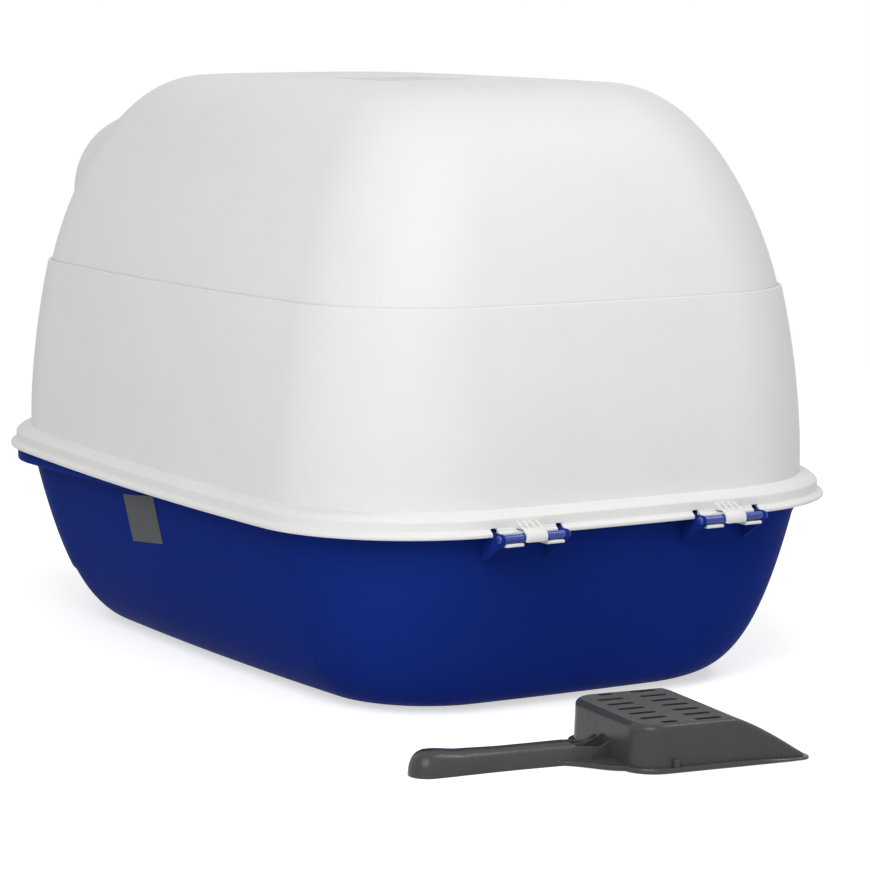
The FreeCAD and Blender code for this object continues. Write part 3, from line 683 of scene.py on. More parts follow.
@dataclass
class Hinge:
    """The rear hinges: bars between fins on the tray, hooks and tabs on the hood."""

    places: Spot = (-85.0, 85.0)
    bar_y: float = 337.5
    bar_z: float = 139.5
    bar_radius: float = 3.0
    bar_past: float = 1.6
    bar_edge: float = 1.4
    fin_span: float = 53.0
    fin_thick: float = 3.0
    fin_depth: float = 20.0
    fin_cap: float = 3.5
    fin_root: float = 313.0
    fin_edge: float = 0.6
    root_in: float = 4.75
    hook_width: float = 17.0
    hook_in: float = 3.4
    hook_out: float = 5.8
    ribs: int = 4
    rib_thick: float = 1.6
    rib_tall: float = 5.0
    rib_sunk: float = 1.5
    rib_edge: float = 0.28
    tab_gap: float = 1.0
    tab_thick: float = 2.4
    tab_top: float = 145.0
    tab_edge: float = 0.38
    notch_gap: float = 1.2
    notch_in: float = 7.6
    notch_out: float = 9.0
    notch_span: Spot = (130.0, 146.0)
    notch_edge: float = 0.8

    def fin_places(self) -> list[float]:
        """The fins' middles along X."""
        return [x + s * self.fin_span / 2 for x in self.places for s in (-1, 1)]

    def fins(self) -> list[Surface]:
        """The fins on the tray: upright plates with a slanting lower edge and a round nose at the bar.

        Returns:
            One surface for each fin.
        """
        cap, y, z, half = self.fin_cap, self.bar_y, self.bar_z, self.fin_thick / 2
        side = rounded([(self.fin_root, z - self.fin_depth), (y + cap, z - cap), (y + cap, z + cap),
                        (self.fin_root, z + cap)], [0.4, cap * 0.98, cap * 0.98, 0.4], 8)
        return [plate(side, x - half, x + half, Axis.X, self.fin_edge) for x in self.fin_places()]

    def rod(self, x: float) -> Surface:
        """A bar through the two fins about x, with round ends that stand a little past them."""
        half = (self.fin_span + self.fin_thick) / 2 + self.bar_past
        outline = circle(self.bar_radius, (self.bar_y, self.bar_z))
        return plate(outline, x - half, x + half, Axis.X, self.bar_edge, 5)

    def hooks(self) -> list[Surface]:
        """The hooks over the bars, each with a comb of ribs.

        The hook's outline is an arm that runs into two arcs about the bar, the inner one clear of it. Both end
        below the bar's middle by half the outer radius.

        Returns:
            The surfaces of arms and ribs.
        """
        made = []
        y, z, inner, outer = self.bar_y, self.bar_z, self.hook_in, self.hook_out
        arc_in = arc(inner, (y, z), np.linspace(math.pi - 0.15, -math.asin(outer / 2 / inner), 16))
        arc_out = arc(outer, (y, z), np.linspace(-math.asin(0.5), math.pi / 2, 14))
        top, sunk = z + outer, z + outer - self.rib_sunk
        pitch = (self.hook_width - self.rib_thick) / (self.ribs - 1)
        for x in self.places:
            root = LIP.end_at(x) - self.root_in
            start, end = x - self.hook_width / 2, x + self.hook_width / 2
            side = np.concatenate([[(root, z + 0.5)], arc_in, arc_out, [(root, top)]])
            made.append(plate(side, start, end, Axis.X))
            rib = rounded([(root, sunk), (y, sunk), (y + 0.5, top), (root, top + self.rib_tall)],
                          [0.3, 0.3, 0.5, 0.3])
            made += [plate(rib, start + n * pitch, start + n * pitch + self.rib_thick, Axis.X, self.rib_edge)
                     for n in range(self.ribs)]
        return made

    def tabs(self) -> list[Surface]:
        """The two tabs under each bar: a web that hangs from the lip and a blade that reaches out.

        Returns:
            One surface for each tab.
        """
        made = []
        near = self.hook_width / 2 + self.tab_gap
        wide = self.fin_span / 2 - self.fin_thick / 2 - self.tab_gap
        low, far = self.bar_z - self.hook_out, self.bar_y + self.bar_radius
        high, top = low + self.tab_thick, self.tab_top
        for x in self.places:
            for s in (-1, 1):
                start, end = sorted((x + s * near, x + s * wide))
                root = LIP.end_at(start) - self.root_in
                web = root + self.tab_thick
                side = rounded([(root, low), (far, low), (far, high), (web, high), (web, top), (root, top)],
                               [1.2, 1.0, 1.0, 0.8, 0.4, 0.4])
                made.append(plate(side, start, end, Axis.X, self.tab_edge))
        return made

    def notches(self) -> Surface:
        """Room in the lip for the fins.

        Returns:
            The blocks to cut out, as one surface.
        """
        half, (low, high) = self.fin_thick / 2 + self.notch_gap, self.notch_span
        near, far = LIP.half_l - self.notch_in, self.bar_y + self.notch_out
        return together(*(slab((x - half, near, low), (x + half, far, high), self.notch_edge)
                          for x in self.fin_places()))


@dataclass
class Tray:
    """The deep tray, with its turned-over rim, hinge fins and bars, and a bare label."""

    hinge: Hinge
    top: Line = Line(221.0, 316.0, 116.0, 10.0, 6.0)
    floor: Line = Line(132.0, 224.0, 60.0, 8.3, 4.8)
    draft: float = 11.7
    rim_pull: float = 122.0
    floor_pull: float = 42.0
    wall: float = 3.0
    floor_rings: int = 7
    outer_rings: int = 96
    inner_rings: int = 48
    rim_in: float = 7.6
    rim_band: float = 2.5
    rim_top: float = 152.7
    rim_low: float = 139.5
    rim_sole: float = 0.8
    rim_turn: float = 1.5
    rim_flare: float = 4.4
    rim_drop: float = 6.2
    flare_from: float = 4.8
    flare_over: float = 4.0
    clip_room: float = 106.0
    clip_fade: float = 40.0
    edge: float = 1.3
    wave_middle: Spot = (20.0, 86.0)
    wave_slope: float = 0.035
    wave_cube: float = 2.3e-6
    wave_depth: float = 1.4
    wave_width: float = 2.2
    wave_facing: Spot = (0.55, 0.95)
    wave_foot: float = 18.0
    label_at: Spot = (-22.0, 114.0)
    label_size: Spot = (56.0, 38.0)
    label_grid: tuple[int, int] = (30, 24)
    label_turn: float = 5.5
    label_lean: float = -2.5
    label_lift: float = 0.55
    label_thick: float = 0.3

    def profile(self, t: Array, offset: float) -> tuple[Array, Array, Array]:
        """The wall from the rim to the floor: a cubic curve of inset and height.

        Args:
            t: where to take the curve.
            offset: how far inside the outer face.

        Returns:
            The rows, insets and heights of its level lines.
        """
        draft = math.radians(self.draft)
        reach = self.top.half_w - self.floor.half_w
        ends = [(0.0, LIP_Z), (self.rim_pull * math.sin(draft), LIP_Z - self.rim_pull * math.cos(draft)),
                (reach - self.floor_pull, 0.0), (reach, 0.0)]
        return bent(ends, self.top.row(), self.floor.row(), t, offset)

    def flare(self, band: Array, facing: Array) -> None:
        """Turns the lower part of the rim's band out, and down towards the front, but not behind the clips.

        Args:
            band: the band's rings, changed in place.
            facing: their normals in plan.
        """
        down = smooth((LIP_Z + self.flare_from + lip_rise(band[..., 1]) - band[..., 2]) / self.flare_over)
        beside = smooth((np.abs(band[..., 0]) - self.clip_room) / self.clip_fade)
        down *= np.where(band[..., 1] < 0.0, beside, 1.0)
        band[..., :2] += facing * (self.rim_flare * down)[..., None]
        band[..., 2] -= self.rim_drop * np.clip(-band[..., 1] / LIP.half_l, 0.0, 1.0) * down

    def wave(self, wall: Array, facing: Array) -> None:
        """Steps the sides in below the wave line, more the more a point faces sideways.

        The line's height is a gentle slope plus a cube of the distance along the side.

        Args:
            wall: the outer wall's rings, changed in place.
            facing: their normals in plan.
        """
        along = wall[..., 1] - self.wave_middle[0]
        height = self.wave_middle[1] + self.wave_slope * along + self.wave_cube * along ** 3
        below = smooth((height - wall[..., 2]) / self.wave_width + 0.5)
        low, high = self.wave_facing
        step = self.wave_depth * below * smooth((np.abs(facing[..., 0]) - low) / (high - low))
        wall[..., :2] -= facing * (step * smooth(wall[..., 2] / self.wave_foot))[..., None]

    def shell(self) -> Surface:
        """The tray as one closed skin, from under its floor over the rim to the inside.

        Returns:
            The surface.
        """
        levels, top, floor = Levels(EVEN_ARCS), self.top.row(), self.floor.row()
        disc = np.linspace(0.06, 0.98, self.floor_rings)
        levels.add(floor, 0.0, np.zeros_like(disc), disc)
        start = levels.count()
        levels.add(*self.profile(np.linspace(1.0, 0.0, self.outer_rings), 0.0))
        outer = slice(start, levels.count())
        slope = math.tan(math.radians(self.draft))
        under = self.rim_top - self.wall
        rise = np.linspace(0.15, 1.0, 4) * (under - LIP_Z)
        levels.add(top, -rise * slope, LIP_Z + rise)
        hem, a = flange_rows(self.rim_in), quarter(6)
        levels.add(hem, self.rim_band, under)
        start = levels.count()
        levels.add(hem, self.rim_band, np.linspace(under - 1.0, self.rim_low + 2.0, 4))
        levels.add(hem, 0.5 * self.rim_band * (1 + np.cos(a)), self.rim_low + self.rim_sole * (1 - np.sin(a)))
        levels.add(hem, 0.5 * self.rim_band * (1 - np.sin(a[1:])),
                   self.rim_low + self.rim_turn * (1 - np.cos(a[1:])))
        levels.add(hem, 0.0, np.linspace(self.rim_low + self.rim_turn + 1.0, self.rim_top - self.edge - 0.5, 7))
        band = slice(start, levels.count())
        levels.add(hem, self.edge * (1 - np.cos(a)), self.rim_top - self.edge * (1 - np.sin(a)))
        inner, a = self.wall - (self.rim_top - LIP_Z) * slope, a[::-1]
        levels.add(top, inner - self.edge * (1 - np.sin(a)), self.rim_top - self.edge * (1 - np.cos(a)))
        levels.add(*self.profile(np.linspace(0.0, 1.0, self.inner_rings), self.wall))
        levels.add(floor, 0.0, np.full_like(disc, self.wall), disc[::-1])
        grid, normals = levels.grid()
        self.flare(grid[band], normals[band])
        self.wave(grid[outer], normals[outer])
        return skin(grid, first_pole=True, last_pole=True)

    def label_patch(self) -> Surface:
        """A bare label on the +X wall: x follows the wall's arc at each height, lifted off it.

        Returns:
            An open skin that faces outwards.
        """
        rows, _, heights = self.profile(np.linspace(0.0, 1.0, 300), 0.0)
        u, v = np.meshgrid(*(np.linspace(-0.5, 0.5, count) * size
                             for count, size in zip(self.label_grid, self.label_size)))
        turn = math.radians(self.label_turn)
        y = self.label_at[0] + u * math.cos(turn) - v * math.sin(math.radians(self.label_lean))
        z = self.label_at[1] + u * math.sin(turn) + v * math.cos(turn)
        half_w, half_l, bulge = (np.interp(z, heights[::-1], rows[::-1, i]) for i in (0, 1, 3))
        radius = arc_radius(half_l, bulge)
        x = half_w - radius + np.sqrt(radius ** 2 - y ** 2) + self.label_lift
        return skin(np.stack([x, y, z], -1), around=False)

    def build(self) -> None:
        """Makes and dresses the tray, its label and the bars."""
        tray = raw_object("tray", together(self.shell(), *self.hinge.fins()))
        dress(tray, TRAY_BLUE, "base", Slot.TRAY, "base_tray")
        label = raw_object("bare_label", self.label_patch())
        thicken(label, self.label_thick)
        dress(label, LABEL_GREY, "base", Slot.LABEL, "blank_label")
        # The bars take a lighter blue than the tray, painted light on their tops.
        for side, x in zip(("left", "right"), self.hinge.places):
            rod = raw_object("hinge_rod_" + side, self.hinge.rod(x))
            dress(rod, ROD_BLUE_PAINTED_LIGHT, "base", Slot.TRAY, "hinge_bar_" + side)


@dataclass
class Entrance:
    """The arched doorway through the hood's front, and the portal that stands out round it."""

    half: float = 105.0
    sill: float = 205.0
    top: float = 402.0
    corner: float = 42.0
    through: Spot = (-360.0, -205.0)
    portal_y: float = -306.1
    portal_half: float = 146.0
    portal_top: float = 417.0
    portal_corner: float = 66.0
    portal_soft: float = 15.0

    def doorway(self) -> Surface:
        """The doorway as a closed surface that runs through the front wall."""
        outline = oblong((-self.half, self.sill), (self.half, self.top), self.corner, 20)
        return room(outline, *self.through, Axis.Y)

    def push(self, wall: Array, offset: float, foot: float) -> None:
        """Brings a wall's front out to the portal's plane inside its arch, with a soft edge and a soft crease.

        The distance to the arch is that of a rounded box open downwards, negative inside. The share of the way
        to the plane falls evenly from 1 to 0 across the arch's line.

        Args:
            wall: the wall's points, changed in place.
            offset: how far inside the outer face they lie.
            foot: the height below which nothing moves.
        """
        x, y, z = wall[..., 0], wall[..., 1], wall[..., 2]
        over_x = np.abs(x) - (self.portal_half - self.portal_corner)
        over_z = z - (self.portal_top - self.portal_corner)
        distance = np.hypot(np.maximum(over_x, 0.0), np.maximum(over_z, 0.0))
        distance = distance + np.minimum(np.maximum(over_x, over_z), 0.0) - self.portal_corner
        share = smooth(0.5 - (distance + offset) / self.portal_soft)
        moved = y + (self.portal_y + offset - y) * share
        wall[..., 1] = np.where((y < 0.0) & (z > foot) & (moved < y), moved, y)


@dataclass
class Latch:
    """The two front clips, which hang from pins between ears on the lip."""

    places: dict[str, float] = field(default_factory=lambda: {"left": -85.0, "right": 85.0})
    width: float = 28.0
    thick: float = 3.0
    length: float = 20.0
    nose: float = 13.5
    nose_thick: float = 2.0
    axis_out: float = 9.5
    axis_z: float = 150.0
    barrel: float = 3.6
    pin: float = 1.5
    ear_thick: float = 3.0
    ear_radius: float = 4.0
    ear_root: float = 6.0
    run_gap: float = 0.4
    leaf_sunk: float = 0.2
    leaf_edge: float = 0.45

    def axis_y(self, x: float) -> float:
        """Where a clip's axis lies ahead of the lip."""
        return -LIP.end_at(x) - self.axis_out

    def ears(self) -> list[Surface]:
        """The plates on the hood that carry the pins: a round nose about the axis and a root in the lip.

        Returns:
            One surface for each ear.
        """
        made = []
        r, z, half = self.ear_radius, self.axis_z, self.width / 2 + self.run_gap
        for x in self.places.values():
            front, root = self.axis_y(x) - r, -LIP.end_at(x) + self.ear_root
            side = rounded([(front, z - r), (root, z - r / 2), (root, z + r), (front, z + r)],
                           [r * 0.9, 0.4, 0.4, r * 0.98], 8)
            made += [plate(side, start, start + self.ear_thick, Axis.X)
                     for start in (x - half - self.ear_thick, x + half)]
        return made

    def leaf(self, x: float) -> Surface:
        """A clip's plate, which hangs from the barrel's wall, and its nose turned in under the rim.

        Args:
            x: the clip's middle.

        Returns:
            The surface.
        """
        y, half, top = self.axis_y(x), self.width / 2, self.axis_z - self.pin - self.run_gap - self.leaf_sunk
        front, back, tip = y - self.thick / 2, y + self.thick / 2, y + self.nose
        low = self.axis_z - self.length
        high = low + self.nose_thick
        side = rounded([(front, low), (tip, low), (tip, high), (back, high), (back, top), (front, top)],
                       [2.2, 0.9, 0.9, 1.2, 0.5, 0.5])
        return plate(side, x - half, x + half, Axis.X, self.leaf_edge)

    def build(self) -> None:
        """Makes and dresses the clips: a bored barrel on the pin with its leaf."""
        for name, x in self.places.items():
            at, half = (self.axis_y(x), self.axis_z), self.width / 2
            clip = raw_object("clip_" + name, plate(circle(self.barrel, at), x - half, x + half, Axis.X))
            cut(clip, room(circle(self.pin + self.run_gap, at), x - half - 1.0, x + half + 1.0, Axis.X))
            join(clip, raw_object("leaf", self.leaf(x)))
            dress(clip, TRAY_BLUE, "latch_" + name, Slot.TRAY, "latch_" + name)
            keep_solid("latch_pin_" + name, HOOD_WHITE)


@dataclass
class HoodSkirt:
    """The hood's lower part: a flange with a bead, a tall wall and a ledge for the dome.

    The flange's corners are distances inside the lip, heights over it and radii. Two come before the flange
    itself and one after it.
    """

    hinge: Hinge
    latch: Latch
    entrance: Entrance
    flange: tuple[Point, ...] = ((13.0, -12.0, 0.1), (2.2, 0.0, 0.1), (0.0, 0.0, 1.0), (0.0, 2.5, 1.1),
                                 (3.5, 5.0, 2.0), (3.5, 12.0, 2.2), (7.0, 15.8, 4.0), (13.4, 17.6, 2.0),
                                 (30.0, 30.0, 0.1))
    flange_spans: int = 5
    flange_top: float = 157.5
    wall: float = 2.5
    wall_rings: int = 44
    inner_rings: int = 22
    ceiling: float = 153.0
    power: float = 1.9
    ledge_top: float = 283.7
    ledge_low: float = 280.7
    ledge_in: float = 6.9
    ledge_edge: float = 0.6
    rise_fade: float = 70.0
    top_edge: float = 0.9
    inner_edge: float = 0.3

    def wall_rows(self, t: Array) -> Array:
        """The wall's lines: sizes in proportion to t, and both half sizes to a power of it."""
        rows = mixed(FOOT.row(), SEAM.row(), t)
        rows[:, :2] = mixed(FOOT.row(), SEAM.row(), t ** self.power)[:, :2]
        return rows

    def inner_face(self, levels: Levels, height: Array) -> None:
        """Adds lines of the wall's inner face at given heights."""
        share = (height - self.flange_top) / (SEAM_Z - self.flange_top)
        levels.add(self.wall_rows(share), self.wall, height)

    def shell(self) -> Surface:
        """The skirt as a profile carried round the box and closed on itself.

        From the lip's lower edge the profile runs over the bead, cove, face and ridge up the wall, over the top
        edge, down the inside with the ledge, and back under the ceiling. Its lower part climbs to the front.

        Returns:
            The surface.
        """
        levels = Levels(FRONT_ARCS)
        turns = rounded([(inset, LIP_Z + up) for inset, up, _ in self.flange], [r for *_, r in self.flange],
                        self.flange_spans)
        corner = self.flange_spans + 1
        flange = turns[2 * corner:-corner]
        levels.add(flange_rows(np.minimum(flange[:, 0], FLANGE_REACH)), 0.0, flange[:, 1])
        start = levels.count()
        t = np.linspace(0.015, 1.0, self.wall_rings)
        height = self.flange_top + (SEAM_Z - self.flange_top) * t
        top = SEAM_Z - self.top_edge
        keep = height < top - 1.0
        levels.add(self.wall_rows(t[keep]), 0.0, height[keep])
        a, seam = quarter(4), self.wall_rows(np.ones(1))
        levels.add(seam, self.top_edge * (1 - np.cos(a)), top + self.top_edge * np.sin(a))
        outer = slice(start, levels.count())
        levels.add(seam, self.wall - self.inner_edge * (1 - np.sin(a[1:])),
                   SEAM_Z - self.inner_edge * (1 - np.cos(a[1:])))
        self.inner_face(levels, np.array([296.0, 292.0, 288.0, self.ledge_top + 0.3]))
        levels.add(SEAM.row(), self.ledge_in - self.ledge_edge * np.array([1, 0, 0, 1]),
                   np.array([self.ledge_top, self.ledge_top - self.ledge_edge, self.ledge_low + self.ledge_edge,
                             self.ledge_low]))
        self.inner_face(levels, np.linspace(self.ledge_low - 0.3, self.flange_top + 1.0, self.inner_rings))
        levels.add(FOOT.row(), self.wall, np.array([156.0, self.ceiling]))
        levels.add(flange_rows(np.array([6.0, 6.0, 2.5, 2.5])), 0.0,
                   np.array([self.ceiling, LIP_Z + 5.0, LIP_Z + 2.5, LIP_Z + 0.4]))
        grid, _ = levels.grid()
        fade = 1.0 - smooth((grid[..., 2] - self.flange_top) / self.rise_fade)
        grid[..., 2] += lip_rise(grid[..., 1]) * fade
        self.entrance.push(grid[outer], 0.0, self.flange_top)
        return skin(grid, loop=True)

    def build(self) -> None:
        """Makes and dresses the skirt."""
        skirt = raw_object("hood_skirt_moulding", self.shell())
        cut(skirt, self.hinge.notches())
        cut(skirt, self.entrance.doorway())
        join(skirt, raw_object("extra", together(*self.hinge.hooks(), *self.hinge.tabs(), *self.latch.ears())))
        dress(skirt, HOOD_WHITE, "hood", Slot.HOOD, "hood_skirt")


@dataclass
class DoorFlap:
    """The swinging door: a clear panel with a narrower head on a barrel."""

    half: float = 102.0
    low: float = 208.0
    shoulder: float = 382.0
    corner: float = 39.0
    neck_corner: float = 4.0
    head: float = 56.0
    head_corner: float = 0.5
    axis_y: float = -294.1
    axis_z: float = 396.0
    thick: float = 3.0
    edge: float = 1.2
    barrel: float = 4.0
    barrel_edge: float = 0.8
    pin: float = 2.5
    pin_reach: float = 62.4
    pin_edge: float = 0.6

    def build(self) -> None:
        """Makes and dresses the flap."""
        right = [(self.half, self.low), (self.half, self.shoulder), (self.head, self.shoulder),
                 (self.head, self.axis_z)]
        left = [(-x, z) for x, z in right[::-1]]
        radii = [self.corner, self.corner, self.neck_corner, self.head_corner]
        outline = rounded(left[-1:] + right + left[:-1], radii[:1] + radii + radii[:0:-1], 14)
        half = self.thick / 2
        panel = plate(outline, self.axis_y - half, self.axis_y + half, Axis.Y, self.edge)
        at = (self.axis_y, self.axis_z)
        barrel = plate(circle(self.barrel, at), -self.head, self.head, Axis.X, self.barrel_edge)
        pins = plate(circle(self.pin, at), -self.pin_reach, self.pin_reach, Axis.X, self.pin_edge)
        flap = raw_object("door_flap_panel", together(panel, barrel, pins))
        dress(flap, FLAP_CLEAR, "door", Slot.FLAP, "door_flap")


@dataclass
class Dome:
    """The hood's upper part: a domed wall, a flat roof with vents and an arched portal round the doorway."""

    entrance: Entrance
    door: DoorFlap
    seat_gap: float = 0.4
    roof_z: float = 449.0
    wall: float = 2.5
    wall_rings: int = 78
    roof_rings: int = 9
    step_in: float = 2.9
    lean: float = 11.3
    foot_pull: float = 59.5
    roof_pull: float = 57.5
    reach_side: float = 105.0
    reach_end: float = 101.5
    roof_corner: float = 71.0
    roof_bulges: Spot = (15.5, 12.0)
    spigot_z: float = 284.0
    spigot_edge: float = 0.4
    vent_count: int = 7
    vent_pitch: float = 12.0
    vent_size: Spot = (80.0, 5.0)
    vent_span: Spot = (441.0, 454.0)
    ear_place: float = 56.4
    ear_thick: float = 6.0
    ear_half: float = 6.0
    ear_span: Spot = (402.4, 408.0)
    ear_root: float = 1.3
    pin_gap: float = 0.4

    def profile(self, t: Array, offset: float) -> tuple[Array, Array, Array]:
        """The wall from the seam to the roof: a cubic curve of inset and height.

        Args:
            t: where to take the curve.
            offset: how far inside the outer face.

        Returns:
            The rows, insets and heights of its level lines.
        """
        lean, reach = math.radians(self.lean), self.reach_side
        ends = [(0.0, SEAM_Z), (self.foot_pull * math.sin(lean), SEAM_Z + self.foot_pull * math.cos(lean)),
                (reach - self.roof_pull, self.roof_z), (reach, self.roof_z)]
        foot = SEAM.inside(self.step_in)
        roof = np.array([foot[0] - reach, foot[1] - self.reach_end, self.roof_corner, *self.roof_bulges])
        return bent(ends, foot, roof, t, -offset)

    def shell(self) -> Surface:
        """The dome as one closed skin, from inside its roof round the foot to the roof's outer face.

        Returns:
            The surface.
        """
        t = np.linspace(1.0, 0.0, self.wall_rings)
        disc = np.linspace(0.06, 0.97, self.roof_rings)
        levels, seam, step, low = Levels(FRONT_ARCS), SEAM.row(), self.step_in, self.spigot_z + self.spigot_edge
        rows, inset, height = self.profile(t, self.wall)
        levels.add(rows[0], 0.0, np.full_like(disc, self.roof_z - self.wall), disc)
        levels.add(rows, inset, np.maximum(height, SEAM_Z))
        inner = slice(0, levels.count())
        levels.add(seam, step + self.wall, np.array([294.0, 289.0, low]))
        levels.add(seam, step + np.array([self.wall - self.spigot_edge, self.spigot_edge]), self.spigot_z)
        levels.add(seam, step, np.array([low, 289.0, 294.0, SEAM_Z]))
        outer = slice(levels.count(), None)
        rows, inset, height = self.profile(t[::-1], 0.0)
        levels.add(rows, inset, np.maximum(height, SEAM_Z + self.seat_gap))
        levels.add(rows[-1], 0.0, np.full_like(disc, self.roof_z), disc[::-1])
        grid, _ = levels.grid()
        self.entrance.push(grid[inner], self.wall, SEAM_Z + self.seat_gap + self.wall)
        self.entrance.push(grid[outer], 0.0, SEAM_Z)
        return skin(grid, first_pole=True, last_pole=True)

    def vents(self) -> Surface:
        """The roof's slots, side by side along the box, as rooms to cut out."""
        places = [(n - (self.vent_count - 1) / 2) * self.vent_pitch for n in range(self.vent_count)]
        return together(*(room(stadium(*self.vent_size, (0.0, y)), *self.vent_span, Axis.Z) for y in places))

    def ears(self) -> Surface:
        """The two hangers behind the portal's front that carry the flap's pins.

        Returns:
            The plates as one surface.
        """
        y, half, front = self.door.axis_y, self.ear_half, self.entrance.portal_y + self.ear_root
        foot, (low, high) = self.door.axis_z - half, self.ear_span
        side = rounded([(y - half, foot), (y + half, foot), (y + half, high), (front, high), (front, low),
                        (y - half, low)], [5.8, 5.8, 1.0, 0.5, 0.5, 0.1], 8)
        near, far = self.ear_place, self.ear_place + self.ear_thick
        return together(plate(side, -far, -near, Axis.X), plate(side, near, far, Axis.X))

    def build(self) -> None:
        """Makes and dresses the dome."""
        dome = raw_object("dome_moulding", self.shell())
        cut(dome, self.entrance.doorway())
        cut(dome, self.vents())
        ears = raw_object("ears", self.ears())
        bore = circle(self.door.pin + self.pin_gap, (self.door.axis_y, self.door.axis_z))
        cut(ears, room(bore, -70.0, 70.0, Axis.X))
        join(dome, ears)
        dress(dome, HOOD_WHITE, "dome", Slot.HOOD, "dome")


@dataclass
class OdourFilter:
    """The filter under the roof: a felt pad in a slotted tray."""

    half: float = 50.0
    low: float = 438.2
    top: float = 446.2
    side_gap: float = 0.4
    face_gap: float = 0.05
    corner: float = 0.08
    columns: int = 160
    rings: int = 60
    face_rings: int = 12
    size_power: float = 0.12
    height_power: float = 0.35

    def pad(self) -> Surface:
        """The felt pad: rings of a rounded square, full at half height, with faces that swell a little.

        The height of a ring is the cosine of its angle to the height power times the half thickness, and its
        size is the sine to the size power, drawn in evenly over the face's rings.

        Returns:
            The closed surface.
        """
        square = even(oblong((-1.0, -1.0), (1.0, 1.0), self.corner), self.columns)
        a = np.linspace(0.02, math.pi - 0.02, self.rings)
        size = (self.half - self.side_gap) * np.sin(a) ** self.size_power
        size[:self.face_rings] *= np.linspace(0.1, 1.0, self.face_rings)
        size[-self.face_rings:] *= np.linspace(1.0, 0.1, self.face_rings)
        half = (self.top - self.low) / 2 - self.face_gap
        height = (self.low + self.top) / 2 - np.sign(np.cos(a)) * np.abs(np.cos(a)) ** self.height_power * half
        grid = raised(square[None] * size[:, None, None], height[:, None])
        return skin(grid, first_pole=True, last_pole=True)

    def build(self) -> None:
        """Makes and dresses the pad, and keeps the tray."""
        pad = raw_object("carbon_felt_pad", self.pad())
        dress(pad, FILTER_FELT, "dome", Slot.FILTER, "carbon_filter")
        keep_solid("filter_tray", HOOD_WHITE)


